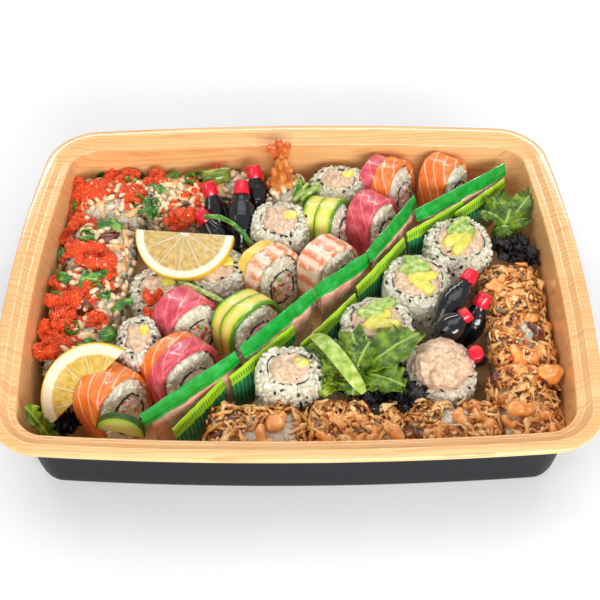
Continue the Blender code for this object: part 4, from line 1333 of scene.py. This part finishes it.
def build_packs():
    """Ginger in clear film under a green seal, and striped paste sachets."""
    for number, (name, (x, y, turn, length, top, bottom)) in enumerate(GINGER_PACKS.items()):
        place = shift(x, y, bottom) @ Matrix.Rotation(math.radians(turn), 4, "Z")
        height = top - bottom
        band_share = 8.0 / height
        film = pillow(length, height, 5.0, 4.0, number, 0.0, 1.0 - band_share)
        dress(placed(film, place), name + ".film", FINISHES["film"], "pack_film", name)
        ginger = pillow(length * 0.88, height, 4.6, 4.0, number + 9, 0.08, 1.0 - band_share - 0.01)
        roughen(ginger, 1.0, 6.0, number)
        dress(placed(ginger, place), name + ".ginger", FINISHES["ginger"], "ginger", name)
        band = pillow(length + 2.0, height, 3.0, 4.0, number, 1.0 - band_share, 1.0)
        dress(placed(band, place), name + ".band", FINISHES["band"], "pack_band", name)
    for number, (name, (x, y, turn, length, top, bottom)) in enumerate(PASTE_SACHETS.items()):
        place = shift(x, y, bottom) @ Matrix.Rotation(math.radians(turn), 4, "Z")
        sachet = pillow(length, top - bottom, 2.6, 2.0, number + 20)
        dress(placed(sachet, place), name + ".film", FINISHES["sachet"], "sachet_film", name)


def leaf_sheet(base, heading, rise, droop, length, width, waves, height, phase, lobes=0.35, ruffle=2.0):
    """A wavy leaf with a lobed, ruffled edge and a pale rib."""
    heading = math.radians(heading)
    forward = Vector((math.cos(heading), math.sin(heading), 0.0))
    level = Vector((-forward.y, forward.x, 0.0))
    spine = [Vector(base)]
    slopes = []
    steps = 40
    for number in range(steps + 1):
        share = number / steps
        slopes.append(math.radians(rise * (1 - share) - droop * share))
        if number:
            slope = slopes[-1]
            spine.append(spine[-1] + (forward * math.cos(slope) + Vector((0, 0, math.sin(slope)))) * length / steps)
    deselect()
    bpy.ops.mesh.primitive_grid_add(x_subdivisions=steps, y_subdivisions=18, size=2 * MM)
    obj = bpy.context.object
    notes = []

    def rule(point):
        share = (point.x + 1) / 2
        step = max(0, min(steps, round(share * steps)))
        slope = slopes[step]
        half = width / 2 * math.sin(math.pi * (0.10 + 0.80 * share)) ** 0.8
        half *= 1.0 + lobes * (noise.noise(Vector((share * 7.0, math.copysign(3.0, point.y), phase))))
        up = Vector((0, 0, 1)) * math.cos(slope) - forward * math.sin(slope)
        side = point.y
        ripple = height * abs(side) ** 1.5 * math.sin(math.tau * waves * share + phase + side)
        frill = ruffle * abs(side) ** 3 * math.sin(math.tau * waves * 4.3 * share + 3 * phase + 2 * side)
        trough = 0.18 * half * side * side
        crinkle = 0.8 * noise.noise(Vector((share * 9.0, side * 3.0, phase + 9.0)))
        reach = spine[step] + forward * math.cos(slope) * 1.4 * frill * 0.4
        notes.append((share * length, side * half, abs(side)))
        return reach + level * half * side + up * (ripple + frill + trough + crinkle)

    move_points(obj, rule)
    layer = obj.data.attributes.new("leaf", "FLOAT_VECTOR", "POINT")
    layer.data.foreach_set("vector", np.array(notes, np.float32).ravel())
    thick = obj.modifiers.new("thick", "SOLIDIFY")
    thick.thickness = 0.5 * MM
    apply_modifiers(obj)
    smooth(obj, 80.0)
    return obj


SALADS = {
    "salad_middle": ((36, -64, 40), "lettuce", (
        ((0, 2, 6), 150, 35, 25, 34, 20, 1.4, 2.2, 0.3),
        ((2, 0, 8), 100, 40, 15, 26, 20, 1.2, 2.0, 1.2),
        ((4, 0, 6), 30, 35, 5, 42, 22, 1.3, 2.4, 2.1),
        ((2, -2, 6), -20, 25, 25, 30, 22, 1.6, 2.4, 0.9),
        ((0, -2, 6), -100, 30, 40, 16, 20, 1.2, 1.6, 2.6),
        ((0, 0, 8), 185, 40, 30, 22, 14, 1.6, 2.0, 0.7),
        ((0, 0, 8), 60, 55, 10, 20, 16, 1.4, 2.0, 3.7),
    )),
    "salad_back": ((143, 57, 34), "lettuce", (
        ((0, 4, 8), 112, 40, 10, 22, 19, 1.3, 2.2, 0.5),
        ((0, 2, 8), 70, 50, 20, 24, 18, 1.1, 1.8, 1.9),
        ((2, 0, 8), 20, 55, 35, 16, 14, 1.2, 1.4, 2.8),
        ((0, 2, 8), 150, 45, 20, 20, 16, 1.2, 1.4, 4.1),
        ((2, 2, 8), 48, 42, 0, 34, 13, 1.6, 1.4, 2.2),
    )),
    "salad_front": ((-144, -97, 14), "lettuce", (
        ((-3, 3, 2), 108, 60, 45, 32, 10, 1.2, 0.8, 0.4),
        ((-2, -2, 6), 165, 88, -70, 40, 13, 1.3, 1.0, 1.5),
        ((2, -2, 4), -15, 50, 20, 20, 10, 1.3, 1.2, 1.5),
    )),
}
# Crinkled clumps: the bunch they lie in, middle, size, finish
FRISEE = (
    ("salad_middle", (52, -78, 43), (22, 11, 8), "dark_leaf"),
    ("salad_middle", (10, -66, 43), (14, 11, 9), "light_leaf"),
    ("salad_back", (145, 40, 41), (16, 18, 8), "dark_leaf"),
    ("salad_front", (-140, -88, 26), (8, 8, 8), "dark_leaf"),
)


def frisee(centre, size, seed):
    """A clump of dark crinkled leaf tips."""
    draw = random.Random(seed)
    made = []
    for number in range(16):
        angle = draw.uniform(0, 360)
        base = (draw.uniform(-0.5, 0.5) * size[0], draw.uniform(-0.5, 0.5) * size[1], -size[2] * 0.4)
        leaf = leaf_sheet(base, angle, draw.uniform(30, 75), draw.uniform(10, 60), draw.uniform(0.6, 1.0) * size[0],
                          draw.uniform(7, 11), 1.6, 1.6, draw.uniform(0, 6), 0.5, 1.8)
        made.append(placed(leaf, shift(*centre)))
    return made


def build_salads():
    """Bunches of lettuce with dark frisee between the leaves."""
    for name, (centre, kind, leaves) in SALADS.items():
        for shape in leaves:
            put_by(name, placed(leaf_sheet(*shape), shift(*centre)))
        foot = bulk(9, 8, 8, 2.2, 2.4, 20, 12)
        roughen(foot, 2.5, 5.0, 3)
        note_points(foot, "leaf", lambda p: (p.x, p.y, 0.3))
        smooth(foot)
        put_by(name, placed(foot, shift(*centre)))
        join_kind(name, name + ".leaves", FINISHES["lettuce"], "lettuce", name)
    for number, (name, centre, size, finish) in enumerate(FRISEE):
        for leaf in frisee(centre, size, number):
            put_by("frisee", leaf)
        slot = "dark_lettuce" if finish == "dark_leaf" else "lettuce"
        join_kind("frisee", f"{name}.{finish}", FINISHES[finish], slot, name)
    stem = ribbon(((10, -42, 53), (16, -51, 59), (23, -61, 60), (31, -72, 57), (40, -82, 49)), 10.5, 1.6)
    dress(stem, "salad_middle.stem", FINISHES["stem"], "lettuce", "salad_middle")


def build_prawn_tail():
    """The fried tail that stands out of the tempura roll."""
    foot = Vector((-7, 95, 1.6)) + Vector((-3.5, 3.0, 38.0))
    body = bulk(9.6, 8.4, 15.0, 2.0, 2.8, 48, 40)
    move_points(body, lambda p: (p.x * (1.0 - 0.022 * (p.z + 14)), p.y * (1.0 - 0.020 * (p.z + 14)) + 0.009 * (
        p.z + 14) ** 2, p.z + 12))
    roughen(body, 3.4, 4.5, 2)
    roughen(body, 1.6, 1.8, 5)
    smooth(body)
    put_by("tail", placed(body, shift(*foot)))
    draw = random.Random(5)
    for number, (lean, reach) in enumerate(((-0.55, 0.86), (-0.1, 1.0), (0.3, 0.9))):
        fin = bulk(3.3, 0.9, 10.5 * reach, 2.0, 3.0, 18, 18)
        placed(fin, shift(0, 0, 9.0 * reach), Matrix.Rotation(lean, 4, "Y"), Matrix.Rotation(-0.2, 4, "X"),
               shift(0, 7.5, 18.0), shift(*foot))
        roughen(fin, 0.5, 1.5, number)
        smooth(fin)
        put_by("fins", fin)
    join_kind("tail", "tempura_roll.tail", FINISHES["batter"], "batter", "tempura_roll")
    join_kind("fins", "tempura_roll.fins", FINISHES["fins"], "prawn", "tempura_roll")


# Finishes

def striped(name, tones, line, pitch, width, tilt, wobble=2.5, roughness=0.3, **sockets):
    """Fish flesh: uneven tone with pale lines across it."""
    finish = Finish(name, roughness, **sockets)
    x, y, z = finish.parts(finish.noted("slab"))
    bent = finish.sum("ADD", finish.sum("MULTIPLY", y, tilt), x)
    bent = finish.sum("ADD", bent, finish.sum("MULTIPLY", finish.height(9.0, 2.0), wobble))
    mark = finish.ramp(finish.use("lines", bent, pitch), (0.0, 1.0), (width, 0.0))
    finish.colour(finish.mix(mark, finish.patches(6.0, *tones), line))
    finish.bump(finish.height(1.4), 0.12)
    return finish.material


def avocado_finish():
    """Yellow flesh that turns green towards its skin."""
    finish = Finish("avocado", 0.3, Coat_Weight=0.3)
    x, y, z = finish.parts(finish.noted("slab"))
    reach = finish.sum("ADD", finish.sum("ABSOLUTE", z), finish.sum("MULTIPLY", finish.height(5.0, 2.0), 0.35))
    finish.colour(finish.ramp(reach, (0.3, rgb(240, 222, 122)), (0.65, rgb(220, 216, 84)), (0.9, rgb(158, 196, 36)),
                              (1.08, rgb(90, 142, 20))))
    finish.bump(finish.height(2.5), 0.15)
    return finish.material


def prawn_finish():
    """Cooked prawn: pale flesh with broken orange bands."""
    finish = Finish("prawn", 0.3, Coat_Weight=0.4, Subsurface_Weight=0.1)
    x, y, z = finish.parts(finish.noted("slab"))
    bent = finish.sum("ADD", y, finish.sum("MULTIPLY", finish.height(4.0), 5.0))
    band = finish.sum("FRACT", finish.sum("DIVIDE", bent, 8.5))
    marks = finish.ramp(band, (0.0, rgb(226, 122, 74)), (0.35, rgb(238, 160, 118)), (0.55, rgb(250, 222, 196)),
                        (0.85, rgb(246, 208, 180)), (1.0, rgb(230, 140, 94)))
    patches = finish.ramp(finish.height(7.0), (0.52, 0.0), (0.66, 0.9))
    finish.colour(finish.mix(patches, marks, rgb(249, 230, 210)))
    finish.bump(finish.height(1.6), 0.2)
    return finish.material


def lemon_finish(name, rind, pith, flesh, pith_from=0.84):
    """A cut lemon: rind and pith round wedges of wet flesh with fine pulp."""
    finish = Finish(name, 0.22, Coat_Weight=0.4, Subsurface_Weight=0.1)
    cut = finish.noted("slice")
    x, y, z = finish.parts(cut)
    radius = finish.use("reach", cut, LEMON_RADIUS)
    turn = finish.sum("MULTIPLY", finish.sum("ARCTAN2", y, x), 6.0 / math.pi)
    turn = finish.sum("ADD", turn, finish.sum("MULTIPLY", finish.height(12.0, 1.0), 0.10))
    gap = finish.sum("SUBTRACT", 0.5, finish.use("lines", turn, 1.0))
    membrane = finish.ramp(finish.sum("MULTIPLY", gap, finish.sum("MULTIPLY", radius, 10.0)), (0.10, 1.0), (0.26, 0.0))
    core = finish.ramp(radius, (0.05, 1.0), (0.12, 0.0))
    wall = finish.between(radius, pith_from - 0.03, pith_from + 0.02)
    pale = finish.sum("MAXIMUM", finish.sum("MAXIMUM", membrane, core), wall)
    fan = finish.node("ShaderNodeCombineXYZ")
    finish.link(finish.sum("MULTIPLY", turn, 4.0), fan.inputs[0])
    finish.link(finish.sum("MULTIPLY", radius, 5.0), fan.inputs[1])
    pulp = finish.noise(fan.outputs[0], 1.6, 3.0)
    tone = finish.ramp(pulp, (0.3, flesh[0]), (0.5, flesh[1]), (0.7, flesh[2]))
    inner = finish.mix(pale, tone, pith)
    finish.colour(finish.mix(finish.between(radius, 0.955, 0.985), inner, rind))
    finish.bump(finish.sum("ADD", finish.sum("MULTIPLY", pale, 0.7), pulp), 0.7)
    return finish.material


def cucumber_finish():
    """A cut cucumber: pale flesh in a dark green skin."""
    finish = Finish("cucumber_slice", 0.3, Coat_Weight=0.3)
    radius = finish.use("reach", finish.noted("slice"), CUCUMBER_RADIUS)
    bent = finish.sum("ADD", radius, finish.sum("MULTIPLY", finish.height(3.0, 2.0), 0.06))
    finish.colour(finish.ramp(bent, (0.5, rgb(206, 214, 128)), (0.8, rgb(178, 198, 90)), (0.95, rgb(138, 172, 54)),
                              (0.99, rgb(38, 80, 24))))
    finish.bump(finish.height(1.5, 2.0), 0.15)
    return finish.material


def soy_finish():
    """Dark soy in a ribbed clear bottle."""
    finish = Finish("soy_bottle", 0.12, Coat_Weight=0.6, Coat_Roughness=0.04)
    x, y, z = finish.parts(finish.noted("bottle"))
    ribs = finish.sum("FRACT", finish.sum("DIVIDE", x, 3.4))
    finish.colour(finish.patches(5.0, rgb(8, 10, 13), rgb(12, 15, 20), rgb(18, 22, 28), 2.0))
    finish.bump(finish.ramp(ribs, (0.0, 0.0), (0.5, 1.0), (1.0, 0.0)), 0.22, 0.4)
    return finish.material


def cap_finish():
    """Red moulded caps."""
    finish = Finish("bottle_cap", 0.25, Coat_Weight=0.5, Coat_Roughness=0.08)
    finish.colour(finish.patches(6.0, rgb(210, 6, 38), rgb(222, 12, 48), rgb(232, 22, 58), 2.0))
    finish.bump(finish.height(2.0, 2.0), 0.08)
    return finish.material


def band_finish():
    """The green seal of a ginger pack, with a pressed ridge along it."""
    finish = Finish("pack_band", 0.2, Coat_Weight=0.5, Coat_Roughness=0.1)
    x, y, z = finish.parts(finish.noted("pack"))
    finish.colour(finish.patches(7.0, rgb(0, 144, 40), rgb(4, 164, 54), rgb(44, 186, 84)))
    ridge = finish.ramp(z, (0.86, 0.0), (0.875, 1.0), (0.955, 1.0), (0.97, 0.0))
    finish.bump(finish.sum("ADD", finish.height(2.5, 2.0), finish.sum("MULTIPLY", ridge, 1.5)), 0.5)
    return finish.material


def film_finish():
    """Clear film, whiter along its creases."""
    finish = Finish("pack_film", 0.12, Coat_Weight=0.5)
    creases = finish.height(5.0, 4.0)
    finish.colour(finish.ramp(creases, (0.35, rgb(220, 214, 208)), (0.65, rgb(246, 244, 240))))
    finish.feed(finish.shader.inputs["Alpha"], finish.ramp(creases, (0.35, 0.04), (0.60, 0.09), (0.74, 0.42)))
    finish.bump(creases, 1.2)
    return finish.material


def sachet_finish():
    """A teal film with thin lime stripes, and a lime band with small marks along its top."""
    finish = Finish("sachet_film", 0.22, Coat_Weight=0.5, Coat_Roughness=0.1)
    x, y, z = finish.parts(finish.noted("pack"))
    stripes = finish.ramp(finish.use("lines", x, 3.1), (0.07, 1.0), (0.10, 0.0))
    teal = finish.patches(8.0, rgb(0, 112, 80), rgb(4, 132, 94), rgb(10, 150, 108), 2.0)
    body = finish.mix(finish.sum("MULTIPLY", stripes, 0.85), teal, rgb(128, 200, 60))
    row = finish.ramp(z, (0.0, 0.0), (0.87, 1.0), (0.945, 0.0), ease="CONSTANT")
    marks = finish.ramp(finish.use("lines", x, 2.0), (0.0, 1.0), (0.27, 0.0), ease="CONSTANT")
    share = finish.sum("MULTIPLY", finish.sum("MULTIPLY", marks, row), 0.75)
    lime = finish.mix(share, rgb(168, 214, 24), rgb(20, 132, 66))
    finish.colour(finish.mix(finish.sum("GREATER_THAN", z, 0.82), body, lime))
    finish.bump(finish.height(4.0), 0.7)
    return finish.material


def leaf_finish(name, dark, middle, light, rib, coat=0.15):
    """A leaf with a pale rib and veins."""
    finish = Finish(name, 0.38, Coat_Weight=coat)
    x, y, z = finish.parts(finish.noted("leaf"))
    side = finish.sum("ABSOLUTE", y)
    stem = finish.ramp(side, (0.4, 0.9), (1.9, 0.0))
    veins = finish.use("lines", finish.sum("SUBTRACT", x, side), 5.0)
    lines = finish.ramp(veins, (0.0, 0.3), (0.08, 0.0))
    tone = finish.patches(7.0, dark, middle, light, 4.0)
    finish.colour(finish.mix(finish.sum("MAXIMUM", stem, lines), tone, rib))
    finish.bump(finish.sum("ADD", finish.height(1.6), lines), 0.4)
    return finish.material


def shred_finish():
    """Fried onion: gold, brown and a few purple-brown shreds, wet with oil."""
    finish = Finish("fried_onion", 0.34, Coat_Weight=0.4, Coat_Roughness=0.2)
    tone = finish.sum("ADD", finish.sum("MULTIPLY", finish.noted("tone", "Fac"), 0.62),
                      finish.sum("MULTIPLY", finish.height(3.4), 0.42))
    finish.colour(finish.ramp(tone, (0.15, rgb(92, 40, 34)), (0.25, rgb(166, 88, 34)), (0.37, rgb(218, 138, 60)),
                              (0.57, rgb(238, 172, 94)), (0.86, rgb(250, 212, 146))))
    finish.bump(finish.height(1.1), 0.35)
    return finish.material


def crab_finish():
    """Crab shreds, white with red patches."""
    finish = Finish("crab", 0.35, Coat_Weight=0.2)
    red = finish.ramp(finish.height(3.4, 2.0), (0.55, 0.0), (0.62, 1.0))
    white = finish.patches(1.6, rgb(222, 200, 180), rgb(238, 222, 206), rgb(250, 240, 228), 2.0)
    finish.colour(finish.mix(red, white, rgb(222, 70, 56)))
    finish.bump(finish.height(0.8), 0.3)
    return finish.material


FINISHES = {
    "rice": mottled("rice", rgb(196, 188, 160), rgb(220, 214, 192), rgb(240, 236, 222), 3.6, 0.3, 0.2, 1.6,
                    Coat_Weight=0.25, Subsurface_Weight=0.15),
    "nori": mottled("seaweed", rgb(14, 20, 16), rgb(24, 32, 24), rgb(42, 52, 36), 2.4, 0.4, 0.3),
    "salmon": striped("salmon", (rgb(232, 104, 32), rgb(242, 124, 46), rgb(246, 146, 72)), rgb(252, 206, 176),
                      8.0, 0.10, 0.55, 2.5, 0.28, Coat_Weight=0.4, Subsurface_Weight=0.08),
    "tuna": striped("tuna", (rgb(200, 54, 74), rgb(220, 82, 98), rgb(234, 122, 128)), rgb(242, 166, 160),
                    11.0, 0.05, 0.8, 3.0, 0.28, Coat_Weight=0.4, Subsurface_Weight=0.08),
    "avocado": avocado_finish(),
    "prawn": prawn_finish(),
    "mango": mottled("mango", rgb(240, 190, 70), rgb(249, 212, 96), rgb(252, 226, 130), 6.0, 0.25, 0.1,
                     Coat_Weight=0.3),
    "filling": mottled("filling", rgb(200, 156, 124), rgb(224, 188, 156), rgb(240, 216, 190), 2.2, 0.4, 0.6, 1.0),
    "crab": crab_finish(),
    "garden": mottled("garden", rgb(104, 144, 44), rgb(160, 188, 88), rgb(206, 216, 138), 3.0, 0.3, 0.3,
                      Coat_Weight=0.2),
    "avocado_bits": mottled("avocado_bits", rgb(200, 198, 60), rgb(228, 216, 92), rgb(242, 232, 142), 4.0, 0.3, 0.3),
    "sesame": mottled("sesame", rgb(10, 10, 11), rgb(20, 20, 22), rgb(44, 42, 40), 1.5, 0.35, 0.1),
    "puffed": mottled("puffed", rgb(222, 184, 134), rgb(240, 212, 168), rgb(250, 232, 200), 4.0, 0.35, 0.15, 1.0),
    "roe": mottled("roe", rgb(206, 48, 8), rgb(232, 76, 20), rgb(246, 116, 44), 1.6, 0.16, 0.05,
                   Coat_Weight=0.4),
    "greens": mottled("spring_onion", rgb(30, 84, 18), rgb(60, 124, 32), rgb(148, 190, 76), 5.0, 0.3, 0.1,
                      Coat_Weight=0.3),
    "pepper": mottled("pepper", rgb(84, 104, 20), rgb(120, 138, 36), rgb(164, 172, 70), 6.0, 0.25, 0.1,
                      Coat_Weight=0.4),
    "mayo": mottled("pale_mayonnaise", rgb(228, 168, 104), rgb(242, 192, 130), rgb(249, 216, 166), 5.0, 0.2, 0.1,
                    Coat_Weight=0.4),
    "orange_mayo": mottled("orange_mayonnaise", rgb(230, 138, 62), rgb(244, 162, 84), rgb(250, 190, 120), 5.0, 0.18,
                           0.1, Coat_Weight=0.5),
    "glaze": mottled("brown_glaze", rgb(58, 20, 8), rgb(104, 44, 14), rgb(150, 76, 26), 5.0, 0.1, 0.05,
                     Coat_Weight=0.5),
    "shreds": shred_finish(),
    "red_bits": mottled("red_bits", rgb(200, 40, 16), rgb(222, 64, 26), rgb(236, 96, 50), 2.5, 0.2, 0.05),
    "batter": mottled("batter", rgb(178, 84, 22), rgb(212, 120, 40), rgb(232, 160, 76), 4.0, 0.4, 0.6, 1.2),
    "fins": mottled("fins", rgb(176, 70, 20), rgb(214, 100, 34), rgb(236, 146, 70), 3.5, 0.3, 0.4, 1.2,
                    Coat_Weight=0.4),
    "stem": mottled("leaf_stem", rgb(124, 160, 40), rgb(164, 190, 76), rgb(206, 216, 138), 5.0, 0.3, 0.4,
                    Coat_Weight=0.2),
    "lemon_back": lemon_finish("lemon_back", rgb(236, 192, 52), rgb(246, 238, 210),
                               (rgb(180, 146, 72), rgb(204, 170, 98), rgb(224, 198, 136))),
    "lemon_front": lemon_finish("lemon_front", rgb(244, 192, 10), rgb(246, 232, 198),
                                (rgb(190, 150, 44), rgb(212, 174, 70), rgb(228, 200, 112)), 0.80),
    "cucumber_slice": cucumber_finish(),
    "soy": soy_finish(),
    "cap": cap_finish(),
    "band": band_finish(),
    "film": film_finish(),
    "ginger": mottled("ginger", rgb(240, 146, 122), rgb(250, 176, 152), rgb(254, 208, 188), 7.0, 0.25, 0.6, 3.0,
                      Coat_Weight=0.3),
    "sachet": sachet_finish(),
    "lettuce": leaf_finish("lettuce", rgb(40, 70, 6), rgb(78, 114, 10), rgb(136, 164, 26), rgb(164, 188, 78)),
    "light_leaf": leaf_finish("light_leaf", rgb(88, 128, 16), rgb(136, 170, 32), rgb(190, 206, 70),
                              rgb(214, 224, 128)),
    "dark_leaf": leaf_finish("dark_leaf", rgb(5, 3, 5), rgb(11, 5, 10), rgb(26, 12, 22), rgb(24, 15, 18), 0.05),
}

RICE_GRAIN = ball_template((5.8, 3.0, 2.6), 6, 4)
SESAME = ball_template((3.0, 1.8, 1.0), 6, 4)
PUFFED = ball_template((7.2, 4.0, 3.6), 8, 6)
ROE_BALL = roe_template(1.35)
CHILLI = ball_template((6.0, 2.4, 1.0), 6, 4)
ONION_CRUMB = ball_template((3.0, 2.0, 1.5), 5, 4)
SHREDS = [shred_template(10, 3.0, 2.5, 1.4), shred_template(7, 2.6, -1.5, 0.9), shred_template(5, 3.0, 0.8, -1.7),
          shred_template(11, 2.2, 3.5, 2.3), shred_template(3.5, 2.8, 0.5, 0.9), shred_template(13, 3.4, 3.0, 1.8)]

build_stage()
build_tray()
for number, (name, facts) in enumerate(TOPPED_ROLLS.items()):
    build_topped(name, *facts, number)
for number, (name, facts) in enumerate(STANDING_ROLLS.items()):
    build_standing(name, *facts, number + 20)
left_cores = []
for number, (name, facts) in enumerate(ROE_ROLLS.items()):
    left_cores.append(build_block(name, *facts, 42.0, number + 40, "left_grains", 420))
right_cores = []
for number, (name, facts) in enumerate(ONION_ROLLS.items()):
    right_cores.append(build_block(name, *facts, 39.5, number + 50, "right_grains", 300))
build_left_rows(left_cores)
build_right_rows(right_cores)
build_prawn_tail()
build_garnish()
build_bottles()
build_packs()
build_salads()
rolls = list(TOPPED_ROLLS)
left = list(ROE_ROLLS)
right = list(ONION_ROLLS)
for kind in ("topped_grains", "standing_grains", "left_grains", "right_grains"):
    join_kind(kind, kind, FINISHES["rice"], "rice")
join_kind("sesame", "sesame_seeds", FINISHES["sesame"], "sesame")
join_kind("nori", "seaweed_rings", FINISHES["nori"], "seaweed", *rolls)
join_kind("crab", "crab_fillings", FINISHES["crab"], "crab", *rolls)
join_kind("garden", "cucumber_bits", FINISHES["garden"], "cucumber")
join_kind("avocado_bits", "avocado_bits", FINISHES["avocado_bits"], "avocado")
join_kind("mayo", "pale_mayonnaise", FINISHES["mayo"], "sauce", *left)
join_kind("orange_mayo", "orange_mayonnaise", FINISHES["orange_mayo"], "sauce", *right)
join_kind("glaze", "brown_glaze", FINISHES["glaze"], "sauce", *left, *right)
join_kind("puffed", "puffed_grains", FINISHES["puffed"], "puffed_grain", *left)
join_kind("greens", "spring_onion", FINISHES["greens"], "green_onion", *left)
join_kind("pepper", "pepper_piece", FINISHES["pepper"], "green_onion", *left)
join_kind("roe_balls", "roe_balls", FINISHES["roe"], "roe", *left)
join_kind("roe_core", "roe_clumps", FINISHES["roe"], "roe", *left)
join_kind("shreds", "fried_onion", FINISHES["shreds"], "fried_onion", *right)
join_kind("crumbs", "onion_crumbs", FINISHES["shreds"], "fried_onion", *right)
join_kind("red_bits", "red_bits", FINISHES["red_bits"], "fried_onion")
